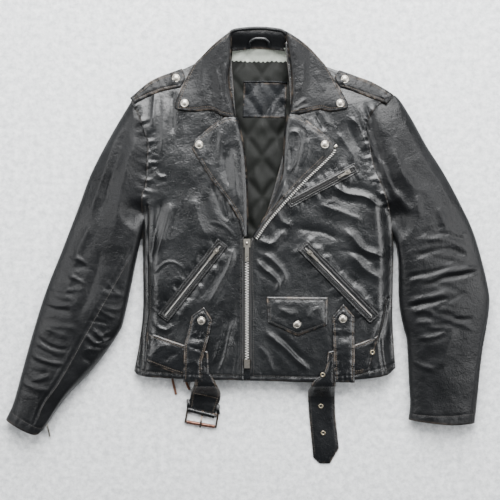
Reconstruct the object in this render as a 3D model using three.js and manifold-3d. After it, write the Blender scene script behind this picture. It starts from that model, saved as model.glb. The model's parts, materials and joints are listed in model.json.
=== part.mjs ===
// A waist-length black leather work jacket of the asymmetric-zip kind, lying on its back, fronts up.
// Millimetres, +Z up. X is measured from the closed main zip and Y up from the hem until the last lines,
// which move the whole jacket so that the origin is the middle of its box, on the surface it lies on.
// "Left" and "right" are as seen from above, with the collar at the top.
import * as THREE from "three";
import { mergeVertices } from "three/addons/utils/BufferGeometryUtils.js";
import Module from "manifold-3d";

const wasm = await Module();
wasm.setup();

// ---- Driving dimensions ----
const BODY_WIDTH = 470; // side seam to side seam, lying flat
const ZIP_OFFSET = 39; // how far the closed zip lies to the left of the body's middle
const BODY_LENGTH = 657; // hem to the top of the collar roll
const ARMHOLE_DEPTH = 186; // shoulder tip down to the armpit
const SLEEVE_LENGTH = 560; // armhole to cuff, along the left sleeve
const BREAK_Y = 272; // height over the hem where the fronts part
const BELT_WIDTH = 50;
const SNAP_RADIUS = 8;
const SLEEVE_TOP = 42; // height of a filled-out sleeve over the surface

// Thicknesses and clearances
const LEATHER = 2.4; // shell leather with its interlining
const LINING = 1.2;
const POCKET_CLOTH = 1.2;
const STRAP = 3; // belt, two plies sewn together
const SEAM_GAP = 0.3; // clearance between two sewn pieces
const BODY_SPACE = 22; // clear height inside the body
const FLAP = 2.6; // epaulette, coin flap and belt loops
const WALL = 3; // side panels and shoulder yokes, folded over

// ---- Levels over the surface, from the bottom up ----
const liningBackZ = LEATHER + SEAM_GAP;
const liningFrontZ = liningBackZ + LINING + BODY_SPACE;
const bagZ = liningFrontZ + LINING + SEAM_GAP;
const frontZ = bagZ + POCKET_CLOTH + SEAM_GAP;
const frontTop = frontZ + LEATHER;
const onFront = frontTop + SEAM_GAP; // where pieces that lie on the fronts start
const overBelt = onFront + STRAP + SEAM_GAP;
const REVERS_LIFT = 3.6; // lapels and collar stand this far off the fronts, on their roll
const reversZ = onFront + REVERS_LIFT;
const reversTop = reversZ + STRAP;

// ---- Levels along the body ----
const shoulderY = BODY_LENGTH - 131;
const armpitY = shoulderY - ARMHOLE_DEPTH;
const neckY = BODY_LENGTH - 25;
const notchY = BODY_LENGTH - 163; // where collar and lapel meet
const leftSide = -(BODY_WIDTH / 2 - ZIP_OFFSET);
const rightSide = BODY_WIDTH / 2 + ZIP_OFFSET;
const NECK_LEFT = -32;
const NECK_RIGHT = 72;

// ---- Finishes ----
const finish = (color, roughness, metalness = 0) =>
  new THREE.MeshStandardMaterial({ color, roughness, metalness });
const shellLeather = finish("#1c1d1f", 0.42);
const strapLeather = finish("#141414", 0.6);
const innerLeather = finish("#262930", 0.5);
const quilting = finish("#2a2e27", 0.85);
const pocketCloth = finish("#3a3a36", 0.9);
const zipTape = finish("#19191a", 0.9);
const nickel = finish("#c9c5bd", 0.3, 1);
const bronze = finish("#8a5f4a", 0.4, 1);

const jacket = new THREE.Group();

/** Adds a named piece to the jacket. */
function piece(name, geometry, material, parent = jacket) {
  const mesh = new THREE.Mesh(geometry, material);
  mesh.name = name;
  parent.add(mesh);
  return mesh;
}

// ---- Geometry helpers ----
/** A flat piece: its outline in plan, from height z up by thickness. */
function slab(outline, z, thickness) {
  const shape = new THREE.Shape(outline.map(([x, y]) => new THREE.Vector2(x, y)));
  const geometry = new THREE.ExtrudeGeometry(shape, { depth: thickness, bevelEnabled: false });
  return geometry.translate(0, 0, z);
}

/** A profile in the Y-Z plane, carried along X from x0 to x1. */
function alongX(profile, x0, x1) {
  const shape = profile instanceof THREE.Shape
    ? profile
    : new THREE.Shape(profile.map(([y, z]) => new THREE.Vector2(y, z)));
  const geometry = new THREE.ExtrudeGeometry(shape, {
    depth: x1 - x0,
    bevelEnabled: false,
    curveSegments: 8,
  });
  // The extrusion's x, y, z become the jacket's y, z, x.
  const turn = new THREE.Matrix4().makeBasis(
    new THREE.Vector3(0, 1, 0),
    new THREE.Vector3(0, 0, 1),
    new THREE.Vector3(1, 0, 0),
  );
  return geometry.applyMatrix4(turn).translate(x0, 0, 0);
}

function box(x0, x1, y0, y1, z0, z1) {
  return new THREE.BoxGeometry(x1 - x0, y1 - y0, z1 - z0).translate(
    (x0 + x1) / 2,
    (y0 + y1) / 2,
    (z0 + z1) / 2,
  );
}

/** A geometry as a manifold-3d solid. */
function solid(geometry) {
  const bare = geometry.clone();
  bare.deleteAttribute("normal");
  bare.deleteAttribute("uv");
  const merged = mergeVertices(bare, 1e-4);
  return new wasm.Manifold(
    new wasm.Mesh({
      numProp: 3,
      vertProperties: merged.attributes.position.array,
      triVerts: new Uint32Array(merged.index.array),
    }),
  );
}

/** A manifold-3d solid back as a geometry. */
function geometryOf(body) {
  const mesh = body.getMesh();
  const geometry = new THREE.BufferGeometry();
  geometry.setAttribute("position", new THREE.BufferAttribute(mesh.vertProperties, 3));
  geometry.setIndex(new THREE.BufferAttribute(mesh.triVerts, 1));
  return geometry;
}

const joined = (...parts) => geometryOf(parts.map(solid).reduce((a, b) => a.add(b)));
const cut = (from, ...tools) =>
  geometryOf(tools.map(solid).reduce((a, b) => a.subtract(b), solid(from)));
const common = (a, b) => geometryOf(solid(a).intersect(solid(b)));

const unit = ([x, y]) => [x / Math.hypot(x, y), y / Math.hypot(x, y)];

/** Moves an open line sideways: positive goes to its left. */
function offsetLine(points, distance) {
  return points.map((p, i) => {
    const before = unit([p[0] - (points[i - 1] ?? p)[0], p[1] - (points[i - 1] ?? p)[1]]);
    const after = unit([(points[i + 1] ?? p)[0] - p[0], (points[i + 1] ?? p)[1] - p[1]]);
    const a = i === 0 ? after : before;
    const b = i === points.length - 1 ? before : after;
    const normal = unit([-(a[1] + b[1]), a[0] + b[0]]);
    const mitre = distance / Math.max(0.3, -normal[0] * a[1] + normal[1] * a[0]);
    return [p[0] + normal[0] * mitre, p[1] + normal[1] * mitre];
  });
}

/** A ribbon between two offsets of one line, as an outline. */
const ribbon = (line, from, to) => [...offsetLine(line, from), ...offsetLine(line, to).reverse()];

/** An outline that runs anticlockwise, drawn in on every side. */
function inset(outline, distance) {
  const n = outline.length;
  const ring = [outline[n - 1], ...outline, outline[0]];
  return outline.map((p, i) => offsetLine([ring[i], p, ring[i + 2]], distance)[1]);
}

/** A domed press-stud cap on a short neck, standing on height z. */
function snapCap(x, y, z) {
  const r = SNAP_RADIUS;
  const profile = [[0, 0], [r * 0.92, 0], [r, 0.5], [r, 1.2], [r * 0.8, 2.2], [r * 0.4, 2.7], [0, 2.9]];
  const geometry = new THREE.LatheGeometry(profile.map(([a, b]) => new THREE.Vector2(a, b)), 20);
  return geometry.rotateX(Math.PI / 2).translate(x, y, z);
}

// ---- Body outlines, in plan ----
const armholeLeft = { top: [leftSide - 22, shoulderY], bottom: [leftSide - 1, armpitY] };
const armholeRight = { top: [rightSide - 10, shoulderY + 6], bottom: [rightSide - 6, armpitY - 27] };
const shoulderLeft = [[NECK_LEFT, neckY], [-108, neckY - 39], [leftSide + 16, neckY - 68], armholeLeft.top];
const shoulderRight = [
  [NECK_RIGHT, neckY],
  [148, neckY - 39],
  [rightSide - 38, neckY - 70],
  armholeRight.top,
];
const sideLeft = [armholeLeft.bottom, [leftSide, 133], [leftSide - 17, 19]];
const sideRight = [armholeRight.bottom, [rightSide, 247], [rightSide, 133], [rightSide + 3, 25]];
const hemLeft = [[leftSide + 40, 4], [-60, 0]];
const hemRight = [[200, 2], [60, 0]];

const ZIP_SLOT = 6.8; // half the slot between the fronts
const rollLeft = [[-4, BREAK_Y + 28], [-21, notchY]];
const rollRight = [[46, BREAK_Y + 62], [80, notchY]];

const backOutline = [
  ...hemRight.toReversed(), // along the hem, then up the right side
  ...sideRight.toReversed(),
  ...shoulderRight.toReversed(),
  ...shoulderLeft,
  ...sideLeft,
  ...hemLeft,
];
const frontLeftOutline = [
  [-ZIP_SLOT, 0],
  [-ZIP_SLOT, BREAK_Y + 3],
  ...rollLeft,
  ...shoulderLeft,
  ...sideLeft,
  ...hemLeft,
];
const vEdgeRight = [[ZIP_SLOT, BREAK_Y - 3], [38, BREAK_Y + 50], ...rollRight];
const frontRightOutline = [
  [ZIP_SLOT, 0],
  ...hemRight.toReversed(),
  ...sideRight.toReversed(),
  ...shoulderRight.toReversed(),
  ...vEdgeRight.toReversed(),
];

// ---- Shell and lining ----
function shell() {
  piece("back_panel", slab(backOutline, 0, LEATHER), shellLeather);
  piece("front_left", slab(frontLeftOutline, frontZ, LEATHER), shellLeather);
  piece("front_right", slab(frontRightOutline, frontZ, LEATHER), shellLeather);

  const wallZ = LEATHER + SEAM_GAP;
  const wallHeight = frontZ - SEAM_GAP - wallZ;
  const seams = {
    side_panel_left: ribbon(sideLeft, 1, 1 + WALL),
    side_panel_right: ribbon(sideRight, -1 - WALL, -1),
    shoulder_yoke_left: ribbon(shoulderLeft, 1, 1 + WALL),
    shoulder_yoke_right: ribbon(shoulderRight, -1 - WALL, -1),
  };
  for (const [name, outline] of Object.entries(seams)) {
    piece(name, slab(outline, wallZ, wallHeight), shellLeather);
  }
}

const LINING_INSET = 1 + WALL + 1.5; // the lining ends inside the side walls

function lining() {
  piece("lining_back", slab(inset(backOutline, LINING_INSET), liningBackZ, LINING), quilting);
  // The front linings stop at the leather facings beside the zip.
  const FACING = 14;
  const facingLeft = [[-ZIP_SLOT - FACING, 8], [-ZIP_SLOT - FACING, BREAK_Y], [-21 - FACING, notchY]];
  const facingRight = [[ZIP_SLOT + FACING, 8], [ZIP_SLOT + FACING, BREAK_Y - 14], [80 + FACING, notchY]];
  const edgeLeft = inset([...shoulderLeft, ...sideLeft, ...hemLeft], LINING_INSET);
  const edgeRight = inset(
    [...hemRight.toReversed(), ...sideRight.toReversed(), ...shoulderRight.toReversed()],
    LINING_INSET,
  );
  const left = [...edgeLeft.slice(1), ...facingLeft];
  const right = [...edgeRight.slice(0, -1), ...facingRight.toReversed()];
  piece("lining_front_left", slab(left, liningFrontZ, LINING), quilting);
  piece("lining_front_right", slab(right, liningFrontZ, LINING), quilting);
}

// ---- Collar ----
const STAND_Z = 20; // the collar stand lies this high inside the neck
const STAND_DEPTH = 34;
const STAND = 4;

function collarStand() {
  const back = BODY_LENGTH - 2;
  const front = back - STAND_DEPTH;
  const foot = LEATHER + SEAM_GAP; // it is sewn over the neck edge of the back
  const profile = [
    [front, STAND_Z],
    [back - STAND, STAND_Z],
    [back - STAND, foot + STAND],
    [neckY - STAND, foot + STAND],
    [neckY - STAND, foot],
    [back, foot],
    [back, reversTop - 1],
    [back - STAND, reversTop - 1],
    [back - STAND, STAND_Z + STAND],
    [front, STAND_Z + STAND],
  ];
  piece("collar_stand", alongX(profile, NECK_LEFT + 5, NECK_RIGHT - 3), innerLeather);
}

const HANGER_X = 22.5;
const HANGER_WIDTH = 36;
const HANGER_CORD = 3.2;

function hangerLoop() {
  const r = HANGER_WIDTH / 2 - HANGER_CORD / 2;
  const foot = BODY_LENGTH - 2 - STAND_DEPTH + 3;
  const z = STAND_Z + STAND + SEAM_GAP + HANGER_CORD / 2;
  const LEG = 4; // straight ends, where the loop is caught in the stand
  const ARCH_STEPS = 12;
  const points = [new THREE.Vector3(-r, 0, 0)];
  for (let i = 0; i <= ARCH_STEPS; i++) {
    const a = Math.PI - (i * Math.PI) / ARCH_STEPS;
    points.push(new THREE.Vector3(r * Math.cos(a), LEG + 0.85 * r * Math.sin(a), 0));
  }
  points.push(new THREE.Vector3(r, 0, 0));
  const path = new THREE.CatmullRomCurve3(points);
  const section = new THREE.Shape(
    new THREE.EllipseCurve(0, 0, HANGER_CORD / 2, HANGER_CORD / 2).getPoints(10).slice(0, -1),
  );
  const geometry = new THREE.ExtrudeGeometry(section, {
    steps: 24,
    bevelEnabled: false,
    extrudePath: path,
  });
  piece("hanger_loop", geometry.translate(HANGER_X, foot, z), innerLeather);
}

/** A turned-back flap: a raised leaf with a lip that goes down to the front along its roll. */
function turnedFlap(outline, roll) {
  const LIP = 4;
  const lip = ribbon(roll, -LIP, 0);
  return joined(slab(outline, reversZ, STRAP), slab(lip, onFront, REVERS_LIFT + STRAP / 2));
}

const collarRollLeft = [[NECK_LEFT + 3, BODY_LENGTH - 2], [-41, notchY + 8]];
const collarRollRight = [[NECK_RIGHT - 1, BODY_LENGTH - 2], [97, notchY + 8]];

function collarWings() {
  const left = [
    ...collarRollLeft,
    [-66, notchY + 14],
    [-124, notchY + 13],
    [-132, notchY + 21],
    [-131, notchY + 31],
    [-108, notchY + 84],
    [-95, notchY + 110],
  ];
  const right = [
    ...collarRollRight,
    [123, notchY + 18],
    [176, notchY + 13],
    [184, notchY + 22],
    [146, notchY + 101],
  ];
  piece("collar_left", turnedFlap(left, collarRollLeft), shellLeather);
  piece("collar_right", turnedFlap(right, collarRollRight.toReversed()), shellLeather);
  piece("collar_snap_left", snapCap(-117, notchY + 29, reversTop + SEAM_GAP), nickel);
  piece("collar_snap_right", snapCap(167, notchY + 28, reversTop + SEAM_GAP), nickel);
}

// ---- Lapels ----
const lapelEdgeRight = [[50, BREAK_Y + 60], [101, BREAK_Y + 106], [154, notchY - 58]];
const ZIP_HALF_WIDTH = 6;

function lapels() {
  const left = [
    ...rollLeft.toReversed(),
    [-32, BREAK_Y + 64],
    [-98, notchY - 57],
    [-96, notchY - 42],
    [-46, notchY - 3],
  ];
  const right = [...rollRight.toReversed(), ...lapelEdgeRight, [150, notchY - 46], [99, notchY - 3]];
  piece("lapel_left", turnedFlap(left, rollLeft.toReversed()), shellLeather);
  piece("lapel_right", turnedFlap(right, rollRight), shellLeather);
  piece("lapel_snap_left", snapCap(-86, notchY - 50, reversTop + SEAM_GAP), nickel);
  piece("lapel_snap_right", snapCap(142, notchY - 54, reversTop + SEAM_GAP), nickel);
  const teeth = ribbon(lapelEdgeRight, -SEAM_GAP, -SEAM_GAP - ZIP_HALF_WIDTH);
  piece("lapel_zip", slab(teeth, reversZ, STRAP), nickel);
}

// ---- Epaulettes ----
function epaulettes() {
  const left = [
    [leftSide - 16, shoulderY + 4],
    [leftSide - 8, shoulderY - 4],
    [-166, notchY + 52],
    [-128, notchY + 58],
    [-119, notchY + 76],
    [-124, notchY + 91],
    [leftSide + 18, notchY + 68],
  ];
  const right = [
    [rightSide - 14, shoulderY + 9],
    [rightSide - 40, notchY + 65],
    [174, notchY + 88],
    [166, notchY + 76],
    [175, notchY + 59],
    [196, notchY + 53],
    [rightSide - 20, shoulderY + 1],
  ];
  piece("epaulette_left", slab(left, onFront, FLAP), shellLeather);
  piece("epaulette_right", slab(right, onFront, FLAP), shellLeather);
  piece("epaulette_snap_left", snapCap(-134, notchY + 75, onFront + FLAP + SEAM_GAP), nickel);
  piece("epaulette_snap_right", snapCap(182, notchY + 74, onFront + FLAP + SEAM_GAP), nickel);
}

// ---- Sleeves ----
// Each edge is a list of [share of the sleeve's length, distance from its middle line], shoulder to cuff.
const sleeveLeft = {
  armhole: armholeLeft,
  cuff: [-216, -517],
  outer: [[0.09, 56], [0.4, 61], [0.65, 48], [0.9, 31], [1, 30]],
  inner: [[0.34, -78], [0.475, -90], [0.58, -99], [0.74, -77], [1, -30]],
};
const sleeveRight = {
  armhole: armholeRight,
  cuff: [97.7, -493.5],
  outer: [
    [-0.21, 38],
    [0.04, 80],
    [0.24, 107],
    [0.39, 136],
    [0.54, 137],
    [0.64, 130],
    [0.85, 95],
    [1.03, 62],
  ],
  inner: [[0.35, -17], [0.535, -32], [0.72, -43], [0.97, -61]],
};
const NOMINAL_SLEEVE = 560; // the length that the cuff places above belong to

function sleeve(side, plan, sign) {
  const { top, bottom } = plan.armhole;
  const start = [(top[0] + bottom[0]) / 2, (top[1] + bottom[1]) / 2];
  const reach = plan.cuff.map((v) => (v * SLEEVE_LENGTH) / NOMINAL_SLEEVE);
  const length = Math.hypot(...reach);
  const along = unit(reach);
  const across = [sign * -along[1], sign * along[0]]; // away from the body
  const place = ([share, aside]) => [
    start[0] + along[0] * share * length + across[0] * aside,
    start[1] + along[1] * share * length + across[1] * aside,
  ];
  // A point beside the armhole seam, on the sleeve's side of it.
  const seam = unit([top[0] - bottom[0], top[1] - bottom[1]]);
  const away = [sign * seam[1], sign * -seam[0]];
  const beside = ([x, y], gap) => [x + away[0] * gap, y + away[1] * gap];

  const outerEdge = [beside(top, SEAM_GAP), ...plan.outer.map(place)];
  const innerEdge = [beside(bottom, SEAM_GAP), ...plan.inner.map(place)];
  const outline = [...outerEdge, ...innerEdge.toReversed()];
  piece(`sleeve_${side}_under`, slab(outline, 0, LEATHER), shellLeather);

  // The upper sleeve is an arch: the outline with rounded upper edges, less the same shape drawn in.
  const ROUND = 11;
  const rounded = (edge, top_z, round) => {
    const shape = new THREE.Shape(edge.map(([x, y]) => new THREE.Vector2(x, y)));
    return new THREE.ExtrudeGeometry(shape, {
      depth: 2 * top_z - 2 * round,
      bevelThickness: round,
      bevelSize: round,
      bevelOffset: -round,
      bevelSegments: 3,
    }).translate(0, 0, -top_z + round);
  };
  const past = 30; // the hollow runs this far past both ends
  const lineIn = (edge, inward) => {
    const line = offsetLine(edge, inward);
    const [before, last] = line.slice(-2);
    const end = unit([last[0] - before[0], last[1] - before[1]]);
    return [beside(line[0], -past), ...line, [last[0] + end[0] * past, last[1] + end[1] * past]];
  };
  const hollow = [...lineIn(outerEdge, sign * -LEATHER), ...lineIn(innerEdge, sign * LEATHER).toReversed()];
  const outside = rounded(outline, SLEEVE_TOP, ROUND);
  const inside = rounded(hollow, SLEEVE_TOP - LEATHER, ROUND - LEATHER);
  const far = 2000;
  const above = box(-far, far, -far, far, LEATHER + SEAM_GAP, far);
  const arch = solid(outside).subtract(solid(inside)).intersect(solid(above));
  piece(`sleeve_${side}_top`, geometryOf(arch), shellLeather);
}

// ---- Zips ----
const TEETH_HALF = 4.6; // half the width of a closed chain
const CHAIN_RISE = 1.3; // how far a chain stands over the leather beside it

/** A slider with its bridge, and the pull that swings on it, about their own origin on the chain's top.
 *  The chain runs along the group's Y, and the pull lies towards -Y. */
function sliderAndPull(name, at, z, turn, scale = 1) {
  const group = new THREE.Group();
  group.position.set(at[0], at[1], z);
  group.rotation.z = turn;
  jacket.add(group);
  const halfWidth = 6.2 * scale;
  const halfLength = 8 * scale;
  const plate = 1.5;
  const skirt = 1.2; // the sides reach down beside the chain
  const chainHalf = TEETH_HALF * scale + SEAM_GAP;
  const bar = 0.8; // half the pull's crossbar
  const axisZ = SEAM_GAP + plate + 1.6;
  const bridge = new THREE.Shape();
  bridge.moveTo(-2.6, -axisZ + SEAM_GAP + plate / 2);
  bridge.lineTo(-2.6, 0);
  bridge.absarc(0, 0, 2.6, Math.PI, 0, true);
  bridge.lineTo(2.6, -axisZ + SEAM_GAP + plate / 2);
  bridge.lineTo(1.4, -axisZ + SEAM_GAP + plate / 2);
  bridge.lineTo(1.4, 0);
  bridge.absarc(0, 0, 1.4, 0, Math.PI, false);
  bridge.lineTo(-1.4, -axisZ + SEAM_GAP + plate / 2);
  const body = joined(
    box(-halfWidth, halfWidth, -halfLength, halfLength, SEAM_GAP, SEAM_GAP + plate),
    box(-halfWidth, -chainHalf, -halfLength, halfLength, -skirt, SEAM_GAP + plate / 2),
    box(chainHalf, halfWidth, -halfLength, halfLength, -skirt, SEAM_GAP + plate / 2),
    alongX(bridge, -1, 1).translate(0, 0, axisZ),
  );
  piece(`${name}_slider`, body, nickel, group);
  const half = 3.6 * scale;
  const pull = cut(
    box(-half, half, -34 * scale, bar, axisZ - 0.7, axisZ + 0.7),
    box(-1.6, 1.6, -3.6, -bar, axisZ - 2, axisZ + 2),
    box(-half * 0.45, half * 0.45, -31 * scale, -24 * scale, axisZ - 2, axisZ + 2),
  );
  piece(`${name}_pull`, pull, nickel, group);
}

const chainTop = frontTop + CHAIN_RISE;
const BOX_Y = 26; // the retainer box starts this far over the hem
const BOX_HEIGHT = 16;

function mainZip() {
  const tapeZ = bagZ + 0.1;
  const tape = 15;
  const chainZ = tapeZ + 0.9;
  const middleGap = SEAM_GAP / 2;
  const bottom = BOX_Y + BOX_HEIGHT + SEAM_GAP;
  const teeth = (outline) => slab(outline, chainZ - 0.1, chainTop - chainZ + 0.1);
  const left = joined(
    slab(ribbon([[0, 8], [0, BREAK_Y - 2]], tape, middleGap), tapeZ, chainZ - tapeZ),
    teeth(ribbon([[0, bottom], [0, BREAK_Y - 2]], TEETH_HALF, middleGap)),
  );
  // Above the slider the right half follows the edge of the front to the foot of the lapel.
  const edge = [[ZIP_SLOT - SEAM_GAP, BREAK_Y - 3], [37.4, BREAK_Y + 50.4], [43.5, BREAK_Y + 58.8]];
  const right = joined(
    slab(ribbon([[0, 8], [0, BREAK_Y - 2]], -middleGap, -tape), tapeZ, chainZ - tapeZ),
    teeth(ribbon([[0, bottom], [0, BREAK_Y - 4]], -middleGap, -TEETH_HALF)),
    teeth(ribbon(edge, TEETH_HALF, SEAM_GAP)),
  );
  piece("zip_half_left", left, nickel);
  piece("zip_half_right", right, nickel);
  const retainer = box(-5.2, 5.2, BOX_Y, BOX_Y + BOX_HEIGHT, chainZ + SEAM_GAP, chainTop + 0.6);
  piece("zip_retainer_box", retainer, nickel);
  sliderAndPull("main", [0, BREAK_Y - 12], chainTop, 0);
}

/** The line from a pocket's slider end to its other end, as length and turn about Z. */
function run(from, to) {
  return {
    length: Math.hypot(to[0] - from[0], to[1] - from[1]),
    turn: Math.atan2(to[0] - from[0], -(to[1] - from[1])),
  };
}

const WELT = 1.6;
const pocketChainTop = onFront + WELT + CHAIN_RISE;
const POCKET_CHAIN = 0.62; // pocket zips are this much the size of the main one

/** A zipped slit pocket: a leather welt frame on the front and a chain in it, from its slider's end. */
function zippedPocket(name, from, to, width, withWelt) {
  const { length, turn } = run(from, to);
  const group = new THREE.Group();
  group.position.set(from[0], from[1], 0);
  group.rotation.z = turn;
  jacket.add(group);
  const slot = TEETH_HALF * POCKET_CHAIN + 2.4;
  const frame = cut(
    box(-width / 2, width / 2, -length, 0, onFront, onFront + WELT),
    box(-slot, slot, -length + 5, -5, onFront - 1, onFront + WELT + 1),
  );
  const tapeTop = onFront + 0.8;
  const half = TEETH_HALF * POCKET_CHAIN;
  const chain = joined(
    box(-slot + SEAM_GAP, slot - SEAM_GAP, -length + 5 + SEAM_GAP, -5 - SEAM_GAP, onFront, tapeTop),
    box(-half, half, -length + 8, -8, tapeTop - 0.1, pocketChainTop),
  );
  if (withWelt) {
    piece(`${name}_welt`, frame, shellLeather, group);
    piece(`${name}_zip`, chain, nickel, group);
  } else {
    const both = joined(frame, chain, box(-slot - 1, slot + 1, -length + 4, -4, onFront, tapeTop));
    piece(`${name}_zip`, both, nickel, group);
  }
  const along = unit([to[0] - from[0], to[1] - from[1]]);
  const place = [from[0] + along[0] * 14, from[1] + along[1] * 14];
  sliderAndPull(name, place, pocketChainTop, turn, POCKET_CHAIN);
}

/** A cloth pocket bag between a front and its lining. */
function pocketBag(name, outline) {
  piece(name, slab(outline, bagZ, POCKET_CLOTH), pocketCloth);
}

function pockets() {
  const handLeft = [[-49, BREAK_Y - 16], [-154, 123]];
  const handRight = [[108, BREAK_Y - 20], [235, 122]];
  const chest = [[201, notchY - 95], [82, notchY - 158]];
  zippedPocket("hand_left", ...handLeft, 25, true);
  zippedPocket("hand_right", ...handRight, 27, true);
  zippedPocket("chest", ...chest, 20, false);
  pocketBag("pocket_bag_left", [[-154, 60], [-48, 60], [-34, 262], [-66, 262], [-160, 130]]);
  pocketBag("pocket_bag_right", [[60, 60], [225, 60], [243, 130], [120, 262], [92, 262]]);
}

const FLAP_TOP = 157; // coin flap's sewn edge over the hem

function coinPocket() {
  const flap = [
    [38, FLAP_TOP],
    [40, FLAP_TOP - 48],
    [95, FLAP_TOP - 71],
    [150, FLAP_TOP - 49],
    [150, FLAP_TOP],
  ];
  piece("coin_flap", slab(flap, onFront, FLAP), shellLeather);
  piece("coin_flap_snap", snapCap(94, FLAP_TOP - 49, onFront + FLAP + SEAM_GAP), nickel);
}

// ---- Belt ----
const LOOP_WIDTH = 39;
const LOOP_FOOT = 2; // the loops are sewn this far over the hem

function beltLoops() {
  // Each loop: a strap with a pointed top that snaps shut over the belt.
  const shape = (x, tip, lean) => [
    [x - LOOP_WIDTH / 2, LOOP_FOOT],
    [x + LOOP_WIDTH / 2, LOOP_FOOT],
    [x + lean + LOOP_WIDTH / 2, tip - 22],
    [x + lean * 1.05, tip],
    [x + lean - LOOP_WIDTH / 2, tip - 19],
  ];
  const tipY = BELT_WIDTH + 88;
  piece("belt_loop_left", slab(shape(-102, tipY, 17), overBelt, FLAP), strapLeather);
  piece("belt_loop_right", slab(shape(182, tipY + 4, -3), overBelt, FLAP), strapLeather);
  const capZ = overBelt + FLAP + SEAM_GAP;
  piece("belt_loop_snap_left", snapCap(-86, tipY - 22, capZ), nickel);
  piece("belt_loop_snap_right", snapCap(179, tipY - 22, capZ), nickel);
}

const HEM_GAP = 0.7; // the free belt ends start this far outside the hem
const buckleEnd = { x: -73, turn: -0.17 }; // where the strap crosses the hem, and its slant
const tongueX = 140;

function beltOnBody() {
  const w = BELT_WIDTH;
  const edge = SEAM_GAP - HEM_GAP;
  const left = [
    [leftSide + 7, 40 + w],
    [-66, 12 + w],
    [buckleEnd.x + w / 2, w - 8],
    [buckleEnd.x + w / 2, edge],
    [buckleEnd.x - w / 2, edge],
    [-120, 12],
    [leftSide + 6, 37],
  ];
  const right = [
    [rightSide - 30, 40 + w],
    [160, 26 + w],
    [tongueX + 4, w - 10],
    [tongueX - w / 2, edge],
    [tongueX + w / 2, edge],
    [200, 13],
    [rightSide - 32, 42],
  ];
  piece("belt_left", slab(left, onFront, STRAP), strapLeather);
  piece("belt_right", slab(right, onFront, STRAP), strapLeather);
}

/** The side view of a strap that leaves the hem and comes down to the surface, as [y, z] points. */
function strapFall(endY) {
  const top = onFront + STRAP;
  return [
    [-HEM_GAP, onFront],
    [-HEM_GAP, top],
    [-10, top - 2],
    [-24, top - 20],
    [-34, STRAP + 2],
    [-44, STRAP],
    [endY, STRAP],
    [endY, 0],
    [-42, 0],
    [-31, 2.5],
    [-20, onFront - 18],
    [-8, onFront - 2],
  ];
}

function tongueEnd() {
  const w = BELT_WIDTH;
  const x = tongueX;
  const plan = [
    [x - w / 2, 10],
    [x - w / 2, -30],
    [x - w / 2 + 9, -146],
    [x + 15, -156],
    [x + w / 2 + 7, -127],
    [x + w / 2 - 1, -20],
    [x + w / 2 - 1, 10],
  ];
  const strap = common(slab(plan, -5, 60), alongX(strapFall(-170), x - w, x + w));
  piece("belt_tongue_end", strap, strapLeather);
}

const CROSSBAR = 1.7; // radius of the buckle's bars
const BAR_PLAY = 0.4; // clearance of what turns on a bar
const FOLD = 2.2; // thickness of the strap's folded ply
const ROLLER_WALL = 1.3;
const BUCKLE_REACH = 23; // crossbar to roller
const BUCKLE_PLAY = 2.5; // the strap's clearance between the buckle's arms, each side
const ARM = 3.5;
const buckleZ = CROSSBAR + BAR_PLAY + FOLD;

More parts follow.
